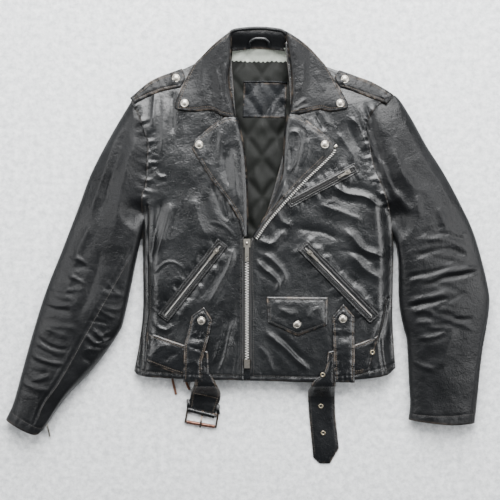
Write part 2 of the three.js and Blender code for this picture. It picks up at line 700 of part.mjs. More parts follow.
function buckle() {
  const w = BELT_WIDTH;
  const t = buckleEnd.turn;
  const reach = 64; // hem to crossbar, along the strap
  const centre = [buckleEnd.x + Math.sin(t) * reach, -Math.cos(t) * reach + 3];
  const group = new THREE.Group();
  group.position.set(centre[0], centre[1], 0);
  group.rotation.z = t;
  jacket.add(group);

  // The strap: a fold round the crossbar, with a slot for the prong, and one ply up to the hem.
  const foldRadius = CROSSBAR + BAR_PLAY + FOLD;
  const foldLength = 27;
  const fold = new THREE.Shape();
  fold.moveTo(foldLength, 0);
  fold.lineTo(foldLength, 2 * foldRadius);
  fold.lineTo(0, 2 * foldRadius);
  fold.absarc(0, foldRadius, foldRadius, Math.PI / 2, -Math.PI / 2, false);
  const eye = new THREE.Path();
  eye.absarc(0, foldRadius, CROSSBAR + BAR_PLAY, 0, 2 * Math.PI, true);
  fold.holes.push(eye);
  const place = (g) => g.rotateZ(t).translate(centre[0], centre[1], 0);
  const slot = place(box(-2.6, 2.6, -10, 9, -1, 20));
  const folded = place(alongX(fold, -w / 2, w / 2));
  const foldTop = [
    centre[0] - Math.sin(t) * (foldLength - 4),
    centre[1] + Math.cos(t) * (foldLength - 4),
  ];
  const side = [Math.cos(t) * (w / 2), Math.sin(t) * (w / 2)];
  const plan = [
    [buckleEnd.x - w / 2, 10],
    [buckleEnd.x - w / 2, -6],
    [foldTop[0] - side[0], foldTop[1] - side[1]],
    [foldTop[0] + side[0], foldTop[1] + side[1]],
    [buckleEnd.x + w / 2, -6],
    [buckleEnd.x + w / 2, 10],
  ];
  const ply = common(slab(plan, -5, 60), alongX(strapFall(-60), -300, 100));
  const strap = solid(ply).add(solid(folded)).subtract(solid(slot));
  piece("belt_buckle_end", geometryOf(strap), strapLeather);

  // The frame: a crossbar and an outer bar between two arms.
  const rod = (radius, y, half) =>
    new THREE.CylinderGeometry(radius, radius, 2 * half, 16).rotateZ(Math.PI / 2).translate(0, y, buckleZ);
  const inner = w / 2 + BUCKLE_PLAY;
  const arm = (x) => box(x, x + ARM, -BUCKLE_REACH - 2, 2, buckleZ - 1.8, buckleZ + 1.8);
  const frame = joined(
    rod(CROSSBAR, 0, inner + 1),
    rod(CROSSBAR, -BUCKLE_REACH, inner + 1),
    arm(inner),
    arm(-inner - ARM),
  );
  piece("buckle_frame", frame, bronze, group);

  const bore = CROSSBAR + BAR_PLAY;
  const ring = (r0, r1, half) => {
    const section = [[r0, -half], [r1, -half], [r1, half], [r0, half], [r0, -half]];
    const points = section.map(([a, b]) => new THREE.Vector2(a, b));
    return new THREE.LatheGeometry(points, 20).rotateZ(Math.PI / 2);
  };
  const roller = ring(bore, bore + ROLLER_WALL, inner - 0.8).translate(0, -BUCKLE_REACH, buckleZ);
  piece("buckle_roller", roller, bronze, group);

  // The prong: an eye on the crossbar and a bar that bends up over the roller.
  const lift = bore + ROLLER_WALL + SEAM_GAP;
  const prongBar = new THREE.Shape();
  prongBar.moveTo(-bore - 0.6, -0.9);
  prongBar.lineTo(-8, -0.9);
  prongBar.lineTo(-16, lift);
  prongBar.lineTo(-BUCKLE_REACH - 6, lift);
  prongBar.lineTo(-BUCKLE_REACH - 6, lift + 1.5);
  prongBar.lineTo(-15, lift + 1.8);
  prongBar.lineTo(-7, 1.2);
  prongBar.lineTo(-bore - 0.6, 1.2);
  const prong = joined(
    ring(bore, bore + 1.6, 1.9).translate(0, 0, buckleZ),
    alongX(prongBar, -1.5, 1.5).translate(0, 0, buckleZ),
  );
  piece("buckle_prong", prong, bronze, group);
}

shell();
lining();
collarStand();
hangerLoop();
collarWings();
lapels();
epaulettes();
sleeve("left", sleeveLeft, -1);
sleeve("right", sleeveRight, 1);
mainZip();
pockets();
coinPocket();
beltLoops();
beltOnBody();
tongueEnd();
buckle();

// The origin: the middle of the jacket's box, on the surface.
const bounds = new THREE.Box3().setFromObject(jacket, true);
const middle = bounds.getCenter(new THREE.Vector3());
jacket.position.set(-middle.x, -middle.y, -bounds.min.z);

export default jacket;
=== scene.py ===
"""The looks of a black leather jacket that lies on its back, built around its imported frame.

Plan places are millimetres from the middle line of the back (x) and up from the hem (y), as a
pattern cutter would lay the jacket out. Heights are millimetres over the surface it lies on.
"""

import json
import logging
from collections.abc import Callable, Sequence
from dataclasses import dataclass, field
from enum import Enum

import bpy
import numpy as np
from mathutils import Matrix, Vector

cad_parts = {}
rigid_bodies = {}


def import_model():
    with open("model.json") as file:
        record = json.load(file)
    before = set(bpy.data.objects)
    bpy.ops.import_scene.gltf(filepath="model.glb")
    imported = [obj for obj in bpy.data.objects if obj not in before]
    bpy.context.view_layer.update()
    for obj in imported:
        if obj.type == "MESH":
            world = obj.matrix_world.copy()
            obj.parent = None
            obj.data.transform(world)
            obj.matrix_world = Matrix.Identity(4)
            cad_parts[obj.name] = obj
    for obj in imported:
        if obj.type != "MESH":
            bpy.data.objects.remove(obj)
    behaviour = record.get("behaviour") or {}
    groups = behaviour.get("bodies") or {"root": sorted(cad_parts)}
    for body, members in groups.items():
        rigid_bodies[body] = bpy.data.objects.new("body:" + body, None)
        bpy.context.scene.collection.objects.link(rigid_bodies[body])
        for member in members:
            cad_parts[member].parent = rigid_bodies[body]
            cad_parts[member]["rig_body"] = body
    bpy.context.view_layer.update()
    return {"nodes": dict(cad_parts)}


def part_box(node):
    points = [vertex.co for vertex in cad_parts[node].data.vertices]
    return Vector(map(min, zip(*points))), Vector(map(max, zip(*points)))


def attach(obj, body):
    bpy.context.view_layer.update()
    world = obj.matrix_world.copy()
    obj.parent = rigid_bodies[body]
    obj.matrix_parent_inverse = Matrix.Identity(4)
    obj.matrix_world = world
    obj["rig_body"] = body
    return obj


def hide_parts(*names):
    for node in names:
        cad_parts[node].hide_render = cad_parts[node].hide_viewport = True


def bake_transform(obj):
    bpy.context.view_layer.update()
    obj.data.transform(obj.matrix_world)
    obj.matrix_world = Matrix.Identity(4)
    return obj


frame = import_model()

Array = np.ndarray
Point = tuple[float, float]
Surface = Callable[[Array, Array], Array]

log = logging.getLogger("jacket")
logging.basicConfig(level=logging.INFO, format="%(name)s: %(message)s")

MM = 0.001

# ---- The frame's places, in plan millimetres ----
ZIP_X = -28.5  # the closed zip lies this far beside the middle of the back
ORIGIN_X = ZIP_X - (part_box("zip_half_left")[1].x * 1000 + 0.15)
ORIGIN_Y = -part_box("front_left")[0].y * 1000
FRONT_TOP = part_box("front_left")[1].z * 1000
LEFT_ZIP_EDGE = -35.3  # where the left front ends at the zip
RIGHT_ZIP_EDGE = -21.7  # where the right front starts at it
FRONT_LEATHER = 2.4
HEM_GAP = 0.7  # the free belt ends start this far outside the hem


def to_frame(x: Array, y: Array, z: Array) -> Array:
    """Plan millimetres and heights as points of the frame, in metres."""
    x, y, z = np.broadcast_arrays(x, y, z)
    return np.stack([x - ORIGIN_X, y - ORIGIN_Y, z], axis=-1) * MM


# ---- Curves and noise ----
def ramp(t: Array) -> Array:
    """Zero below 0, one above 1, with a soft start and stop."""
    t = np.clip(t, 0.0, 1.0)
    return t * t * (3.0 - 2.0 * t)


def curve(points: Sequence[Point], count: int, at: Array | None = None) -> Array:
    """A soft line through given points.

    The line is a Catmull-Rom curve with centripetal ends, sampled closely and walked by length.

    Args:
        points: The places it goes through, in plan or in space.
        count: How many points to return.
        at: Their shares of the length, evenly spread when left out.

    Returns:
        count points along the line.
    """
    p = np.asarray(points, float)
    if len(p) > 2:
        q = np.vstack([2 * p[0] - p[1], p, 2 * p[-1] - p[-2]])
        t = np.linspace(0, 1, 24, endpoint=False)[:, None]
        parts = []
        for a, b, c, d in zip(q[:-3], q[1:-2], q[2:-1], q[3:]):
            parts.append(
                0.5 * (2 * b + (c - a) * t + (2 * a - 5 * b + 4 * c - d) * t**2
                       + (3 * b - a - 3 * c + d) * t**3)
            )
        p = np.vstack([*parts, p[-1:]])
    along = distances(p)
    share = np.linspace(0, 1, count) if at is None else at
    return np.stack([np.interp(share * along[-1], along, p[:, k]) for k in range(p.shape[1])], axis=1)


def distances(points: Array) -> Array:
    """How far along a line each of its points lies."""
    return np.concatenate([[0], np.cumsum(np.linalg.norm(np.diff(points, axis=0), axis=1))])


def tangents(line: Array) -> Array:
    """The unit direction of a line at each of its points."""
    way = np.gradient(line, axis=0)
    return way / np.linalg.norm(way, axis=1, keepdims=True)


def leftward(way: Array) -> Array:
    """Plan directions turned a quarter to the left."""
    return np.stack([-way[:, 1], way[:, 0]], axis=1)


def bell(gap: Array, width: float) -> Array:
    """A bell round zero: e to the power of minus the square of the gap over the width."""
    return np.exp(-((gap / width) ** 2))


def length_of(points: Array) -> float:
    """The length of a line through points."""
    return float(np.linalg.norm(np.diff(np.asarray(points, float), axis=0), axis=1).sum())


class Noise:
    """Smooth value noise on a lattice: random numbers at whole places, eased between them."""

    SIZE = 128

    def __init__(self, seed: int) -> None:
        """Draws the lattice's numbers from the seed."""
        self.grid = np.random.default_rng(seed).random((self.SIZE, self.SIZE)) * 2 - 1

    def __call__(self, x: Array, y: Array) -> Array:
        """The noise at x, y, from -1 to 1."""
        x, y = np.broadcast_arrays(np.asarray(x, float), np.asarray(y, float))
        ix, iy = np.floor(x).astype(int), np.floor(y).astype(int)
        fx, fy = ramp(x - ix), ramp(y - iy)
        n = self.SIZE
        g = self.grid
        a = g[iy % n, ix % n] * (1 - fx) + g[iy % n, (ix + 1) % n] * fx
        b = g[(iy + 1) % n, ix % n] * (1 - fx) + g[(iy + 1) % n, (ix + 1) % n] * fx
        return a * (1 - fy) + b * fy

    def layers(self, x: Array, y: Array, count: int) -> Array:
        """Noise upon finer noise: each layer is half as wide and half as high."""
        total = np.zeros(np.broadcast(x, y).shape)
        for k in range(count):
            total += self(x * 2**k + 17.3 * k, y * 2**k - 9.1 * k) / 2**k
        return total


SOFT = Noise(3)
WARP = Noise(11)
CREASE = Noise(23)
PUCKER = Noise(37)


def nearest(x: Array, y: Array, line: Array) -> tuple[Array, Array, Array]:
    """How far places lie from a line.

    For each stretch of the line the foot of the perpendicular is kept within the stretch.

    Args:
        x, y: The places.
        line: The line's points.

    Returns:
        The distance, its share along the line, and on which side it is (plus is the left).
    """
    best = np.full(x.shape, 1e9)
    share = np.zeros(x.shape)
    side = np.ones(x.shape)
    steps = np.linalg.norm(np.diff(line, axis=0), axis=1)
    starts = np.concatenate([[0], np.cumsum(steps)])
    for k, (a, b) in enumerate(zip(line[:-1], line[1:])):
        d = b - a
        t = np.clip(((x - a[0]) * d[0] + (y - a[1]) * d[1]) / max(d @ d, 1e-9), 0, 1)
        ex, ey = x - a[0] - t * d[0], y - a[1] - t * d[1]
        far = np.hypot(ex, ey)
        closer = far < best
        best = np.where(closer, far, best)
        share = np.where(closer, (starts[k] + t * steps[k]) / starts[-1], share)
        side = np.where(closer, np.sign(d[0] * ey - d[1] * ex), side)
    return best, share, side


# ---- Folds ----
@dataclass(frozen=True)
class Fold:
    """A rounded ridge in leather along a line, which fades out at both ends.

    Its section is a bell with a narrower bell on its crest, each its height times
    exp(-(distance / width) squared), and a shallow trough on both sides. A negative height makes
    a valley.
    """

    points: tuple[Point, ...]
    height: float = 3.0
    width: float = 7.0

    def at(self, x: Array, y: Array) -> Array:
        """The fold's height at places."""
        line = curve(self.points, 5 + 4 * len(self.points))
        reach = 3.5 * self.width
        low, high = line.min(0) - reach, line.max(0) + reach
        near = (x > low[0]) & (x < high[0]) & (y > low[1]) & (y < high[1])
        out = np.zeros(x.shape)
        if not near.any():
            return out
        px, py = x[near], y[near]
        wobble = 0.2 * self.width
        px = px + wobble * WARP(px / 23.0, py / 23.0)
        py = py + wobble * WARP(px / 23.0 + 40, py / 23.0)
        far, share, _ = nearest(px, py, line)
        d = far / self.width
        section = 0.5 * bell(d, 1.0) + 0.5 * bell(d, 0.4) - 0.22 * bell(d - 1.9, 0.8)
        fade = ramp(share / 0.22) * ramp((1 - share) / 0.22)
        out[near] = self.height * section * fade
        return out


def ladder(start: Point, end: Point, count: int, reach: float, lean: float, seed: int,
           height: float = 3.5, width: float = 5.0) -> list[Fold]:
    """Creases across a bent sleeve, one above the other, each with its own bow and length.

    Args:
        start, end: The line that the creases cross.
        count: How many there are.
        reach: Half the length of the longest.
        lean: How far they turn from square to the line, in radians.
        seed: The draw.
        height, width: The middle size of a crease's section.

    Returns:
        The folds.
    """
    rng = np.random.default_rng(seed)
    a, b = np.array(start, float), np.array(end, float)
    along = (b - a) / np.linalg.norm(b - a)
    folds = []
    for k in range(count):
        t = (k + 0.5 + rng.uniform(-0.35, 0.35)) / count
        turn = lean + rng.normal(0, 0.22)
        across = np.array([-along[1], along[0]])
        way = np.array([across[0] * np.cos(turn) - across[1] * np.sin(turn),
                        across[0] * np.sin(turn) + across[1] * np.cos(turn)])
        middle = a + (b - a) * t + across * rng.uniform(-0.35, 0.35) * reach
        half = reach * rng.uniform(0.45, 1.0)
        bow = along * rng.uniform(-0.22, 0.22) * half
        points = tuple(
            tuple(middle + way * half * s + bow * (1 - s * s)) for s in (-1.0, -0.5, 0.0, 0.5, 1.0)
        )
        sign = 1.0 if rng.random() < 0.62 else -0.9
        folds.append(Fold(points, sign * height * rng.uniform(0.55, 1.25), width * rng.uniform(0.7, 1.4)))
    return folds


def crumple(x: Array, y: Array, size: float, height: float) -> Array:
    """Soft crossing wrinkles: ridged noise, one less twice the size of warped smooth noise."""
    wx = x / size + 0.5 * WARP(x / size / 1.7, y / size / 1.7)
    wy = y / size + 0.5 * WARP(x / size / 1.7 + 31, y / size / 1.7 + 5)
    return height * (1 - 2 * np.abs(CREASE(wx, wy))) * (0.5 + 0.5 * SOFT(x / size / 2.3, y / size / 2.3))


@dataclass(frozen=True)
class Slit:
    """A zipped pocket slit: where its slider's end and its other end lie, and its welt's width."""

    name: str
    start: Point
    end: Point
    width: float

    @property
    def along(self) -> Array:
        """The unit vector from the slider's end to the other."""
        d = np.subtract(self.end, self.start)
        return d / np.linalg.norm(d)

    @property
    def length(self) -> float:
        """The slit's length."""
        return float(np.linalg.norm(np.subtract(self.end, self.start)))

    def local(self, x: Array, y: Array) -> tuple[Array, Array]:
        """Places as distances along the slit and to its left."""
        ux, uy = self.along
        dx, dy = x - self.start[0], y - self.start[1]
        return dx * ux + dy * uy, -dx * uy + dy * ux

    def place(self, s: Array, t: Array) -> tuple[Array, Array]:
        """Distances along the slit and to its left as places."""
        ux, uy = self.along
        return self.start[0] + s * ux - t * uy, self.start[1] + s * uy + t * ux

    def pucker(self, x: Array, y: Array) -> Array:
        """Short gathers square to the slit that its stitching pulls up beside it."""
        s, t = self.local(x, y)
        beside = np.maximum(np.abs(t) - self.width / 2, np.maximum(-s, s - self.length))
        gather = PUCKER(s / 5.2, t / 30.0 + 7) * 0.9 + PUCKER(s / 11.0 + 9, t / 24.0)
        return 1.5 * gather * bell(beside - 2, 9.0) * (beside > -2.5)

    def quiet(self, x: Array, y: Array) -> Array:
        """Zero in the slit and one away from it, so that its zip lies flat."""
        s, t = self.local(x, y)
        beside = np.maximum(np.abs(t) - self.width / 2, np.maximum(-s, s - self.length))
        return ramp((beside + 3) / 16.0)


HAND_LEFT = Slit("hand_left", (-77.5, 256), (-182.5, 123), 25)
HAND_RIGHT = Slit("hand_right", (79.5, 252), (206.5, 122), 27)
CHEST = Slit("chest", (172.5, 399), (53.5, 336), 20)
SLITS = (HAND_LEFT, HAND_RIGHT, CHEST)

SIDE_LEFT = ((-241, 19), (-232, 66), (-224, 133), (-224, 228), (-226, 340))
SIDE_RIGHT = ((251, 25), (248, 66), (245, 133), (247, 247), (241, 316))
ARMHOLE_LEFT = ((-226, 340), (-218, 370), (-215, 419), (-214, 446), (-219, 465), (-227, 487), (-235, 508),
                (-246, 526))
ARMHOLE_RIGHT = ((241, 316), (224, 368), (210, 403), (202, 440), (196, 471), (200, 495), (218, 520),
                 (236, 533))
SHOULDER_LEFT = ((-246, 526), (-208, 562), (-136, 592), (-60, 634))
SHOULDER_RIGHT = ((236, 533), (207, 562), (119, 592), (44, 634))

FRONT_FOLDS = (
    # The left front, from the shoulder down.
    Fold(((-201, 548), (-204, 512), (-203, 470)), 3.2, 7),
    Fold(((-168, 548), (-169, 505), (-166, 462)), -3.4, 8),
    Fold(((-186, 500), (-184, 462), (-190, 420)), 2.2, 9),
    Fold(((-140, 490), (-146, 440), (-150, 380)), 1.8, 14),
    Fold(((-205, 395), (-190, 384), (-178, 388)), 2.4, 5),
    Fold(((-186, 345), (-196, 300), (-210, 222)), -5.0, 10),
    Fold(((-172, 340), (-181, 290), (-200, 232)), 3.0, 7),
    Fold(((-214, 206), (-201, 207), (-183, 222), (-168, 225), (-150, 215), (-144, 203)), 1.3, 2.6),
    Fold(((-130, 350), (-118, 300), (-100, 268)), 2.8, 11),
    Fold(((-95, 372), (-80, 332), (-62, 300)), -3.2, 8),
    Fold(((-78, 350), (-74, 328), (-66, 308)), 2.6, 3.5),
    Fold(((-64, 340), (-58, 318), (-50, 300)), 2.4, 3.5),
    Fold(((-100, 300), (-70, 292), (-48, 268)), 1.2, 2.8),
    Fold(((-213, 300), (-216, 250), (-208, 214)), 2.6, 4),
    Fold(((-52, 262), (-61, 220), (-91, 161), (-104, 140)), 3.0, 5),
    Fold(((-66, 250), (-92, 190), (-122, 150)), -2.2, 8),
    Fold(((-200, 118), (-196, 103), (-178, 98), (-168, 110)), 2.6, 4.5),
    Fold(((-50, 124), (-62, 84), (-70, 49), (-82, 11)), 3.6, 6),
    Fold(((-64, 118), (-79, 70), (-90, 30)), 2.4, 6),
    Fold(((-44, 90), (-47, 50), (-50, 12)), -2.4, 6),
    # The right front.
    Fold(((98, 505), (106, 490), (118, 470)), -3.5, 6),
    Fold(((160, 500), (181, 476), (201, 430)), 3.2, 8),
    Fold(((190, 528), (203, 495), (214, 455), (226, 405)), -4.6, 7),
    Fold(((182, 505), (196, 462), (212, 425), (226, 398)), 2.6, 3.4),
    Fold(((140, 470), (160, 440), (176, 415)), 2.0, 10),
    Fold(((128, 372), (156, 353), (195, 346), (224, 326)), 4.4, 7),
    Fold(((100, 330), (150, 318), (190, 296)), 2.4, 12),
    Fold(((24, 322), (40, 300), (60, 292)), 2.5, 8),
    Fold(((-14, 232), (4, 211), (19, 201), (31, 183), (22, 166)), 4.0, 5.5),
    Fold(((0, 242), (22, 226), (42, 200), (36, 172)), 3.2, 6),
    Fold(((-12, 268), (4, 262), (20, 260), (49, 289)), 3.4, 7),
    Fold(((60, 288), (110, 280), (150, 262)), -2.4, 9),
    Fold(((150, 290), (167, 273), (190, 247), (232, 234)), 3.8, 7),
    Fold(((165, 240), (200, 205), (230, 190)), 2.6, 8),
    Fold(((140, 246), (180, 240), (210, 216)), -2.0, 9),
    Fold(((0, 100), (40, 66), (91, 16)), 4.0, 6),
    Fold(((26, 92), (60, 56), (84, 34)), -2.6, 6),
    Fold(((-8, 74), (10, 44), (22, 12)), 2.0, 7),
    Fold(((222, 118), (214, 92), (206, 66)), 3.0, 6),
    Fold(((236, 156), (229, 112), (221, 80)), -4.0, 5),
)

SEAMS_ON_FRONT = (
    ((-216, 330), (-215, 228), (-214, 133), (-219, 92), (-222, 12)),
    ((238, 156), (228, 108), (221, 88), (223, 47), (231, 13)),
)


def side_gap(x: Array, y: Array) -> Array:
    """How far inside the side seams and armholes a place lies, along x."""
    left = np.array((*SIDE_LEFT, *ARMHOLE_LEFT[1:]), float)
    right = np.array((*SIDE_RIGHT, *ARMHOLE_RIGHT[1:]), float)
    return np.minimum(
        x - np.interp(y, left[:, 1], left[:, 0]), np.interp(y, right[:, 1], right[:, 0]) - x
    )


def front_height(x: Array, y: Array) -> Array:
    """The height of the fronts' outer face.

    It is level where the hardware lies, and sinks towards the side seams below the armholes and
    towards the shoulder. Folds, wrinkles and the gathers beside the pockets lie on that.
    """
    below = ramp((350 - y) / 40.0)
    gap = side_gap(x, y)
    z = FRONT_TOP - 0.3 - below * 17.0 * (1 - ramp(gap / 34.0)) ** 1.6
    z = z - 12.0 * ramp((y - 560 + 0.36 * np.abs(x + 8)) / 100.0) * ramp((np.abs(x + 8) - 70) / 60.0)
    quiet = ramp((np.abs(x - ZIP_X) - 6) / 20.0)
    for slit in SLITS:
        quiet = quiet * slit.quiet(x, y)
    z = z + quiet * (2.6 * SOFT.layers(x / 90.0, y / 90.0, 2) + crumple(x, y, 52.0, 1.0))
    z = z + quiet * (0.3 * CREASE(x / 13.0, y / 13.0) + crumple(x, y, 19.0, 0.35))
    folds = np.zeros(z.shape)
    for fold in FRONT_FOLDS:
        folds += fold.at(x, y)
    z = z + 0.85 * folds * (0.25 + 0.75 * quiet)
    for slit in SLITS:
        z = z + slit.pucker(x, y)
    # The armhole and hem seams pull the leather into short gathers.
    for line, reach in ((ARMHOLE_LEFT, 17.0), (ARMHOLE_RIGHT, 12.0)):
        far, share, _ = nearest(x, y, curve(line, 24))
        run = share * length_of(np.array(line, float))
        z = z + 1.9 * PUCKER(run / 6.5, far / 16.0) * bell(far, reach)
    hem = np.interp(x, [-241, -227, -148, -35, 97, 177, 251], [19, 11, 6, 2, 0, 5, 25])
    z = z + 1.3 * PUCKER(x / 4.6, y / 30.0 + 3) * bell(y - hem - 9, 7.0)
    z = z - 1.2 * bell(y - hem - 9, 1.7)
    for seam in SEAMS_ON_FRONT:
        far, _, _ = nearest(x, y, curve(seam, 20))
        z = z - 1.8 * bell(far, 2.0) + 0.8 * bell(far - 4.5, 2.5)
    return z


# ---- Meshes ----
def make_object(name: str, points: Array, faces: list, wear: Array | None = None,
                uv: Array | None = None) -> bpy.types.Object:
    """A closed mesh object in the frame.

    Its faces are turned outwards: the volume under them, summed as a third of each face's
    corner product, has to come out positive.

    Args:
        name: The piece's name.
        points: Its points, in metres.
        faces: Its faces, as arrays of point numbers with three or four columns.
        wear: How worn each point is, from 0 to 1.
        uv: Each point's place on the cloth, in metres.

    Returns:
        The object, at the world's origin.
    """
    volume = sum(
        np.einsum("ij,ij->", points[f[:, 0]], np.cross(points[f[:, k]], points[f[:, k + 1]]))
        for f in faces for k in range(1, f.shape[1] - 1)
    )
    if volume < 0:
        faces = [f[:, ::-1] for f in faces]
    mesh = bpy.data.meshes.new(name)
    loops = np.concatenate([f.ravel() for f in faces]).astype(np.int32)
    sizes = np.concatenate([np.full(len(f), f.shape[1]) for f in faces]).astype(np.int32)
    mesh.vertices.add(len(points))
    mesh.vertices.foreach_set("co", points.astype(np.float32).ravel())
    mesh.loops.add(len(loops))
    mesh.loops.foreach_set("vertex_index", loops)
    mesh.polygons.add(len(sizes))
    starts = np.concatenate([[0], np.cumsum(sizes)[:-1]]).astype(np.int32)
    mesh.polygons.foreach_set("loop_start", starts)
    mesh.polygons.foreach_set("loop_total", sizes)
    mesh.polygons.foreach_set("use_smooth", np.ones(len(sizes), bool))
    mesh.update(calc_edges=True)
    values = np.zeros(len(points)) if wear is None else wear
    mesh.attributes.new("wear", "FLOAT", "POINT").data.foreach_set("value",
        values.astype(np.float32).ravel())
    if uv is not None:
        layer = mesh.uv_layers.new(name="cloth")
        layer.data.foreach_set("uv", uv[loops].astype(np.float32).ravel())
    mesh.validate()
    obj = bpy.data.objects.new(name, mesh)
    bpy.context.scene.collection.objects.link(obj)
    return obj


def grid_faces(rows: int, columns: int, wrap: bool = False, ring: bool = False) -> Array:
    """The faces of a grid of points, row after row.

    Args:
        rows, columns: The grid's size.
        wrap: Whether the last column meets the first.
        ring: Whether the last row meets the first.

    Returns:
        Four point numbers for each face.
    """
    r = np.arange(rows if ring else rows - 1)[:, None]
    c = np.arange(columns if wrap else columns - 1)[None]
    nxt, up = (c + 1) % columns, (r + 1) % rows
    quad = [r * columns + c, r * columns + nxt, up * columns + nxt, up * columns + c]
    return np.stack(np.broadcast_arrays(*quad), axis=-1).reshape(-1, 4)


def patch(bottom: Array, right: Array, top: Array, left: Array, u: Array, v: Array) -> Array:
    """A Coons patch: both ruled surfaces between opposite edges, less the corners' bilinear patch."""
    a, b = u[None, :, None], v[:, None, None]
    corners = (1 - a) * (1 - b) * bottom[0] + a * (1 - b) * bottom[-1]
    corners = corners + (1 - a) * b * top[0] + a * b * top[-1]
    return (1 - b) * bottom[None] + b * top[None] + (1 - a) * left[:, None] + a * right[:, None] - corners


def shares(length: float, step: float, rim: float) -> Array:
    """Places from 0 to 1 along a length: even steps, with closer ones at both ends for a rounded rim."""
    count = max(4, int(round(length / step)))
    inner = np.linspace(0, 1, count + 1)
    edge = np.array([0.0, 0.25, 0.6, 1.0]) * rim / length
    inner = inner[(inner > edge[-1] * 1.3) & (inner < 1 - edge[-1] * 1.3)]
    return np.concatenate([edge, inner, 1 - edge[::-1]])


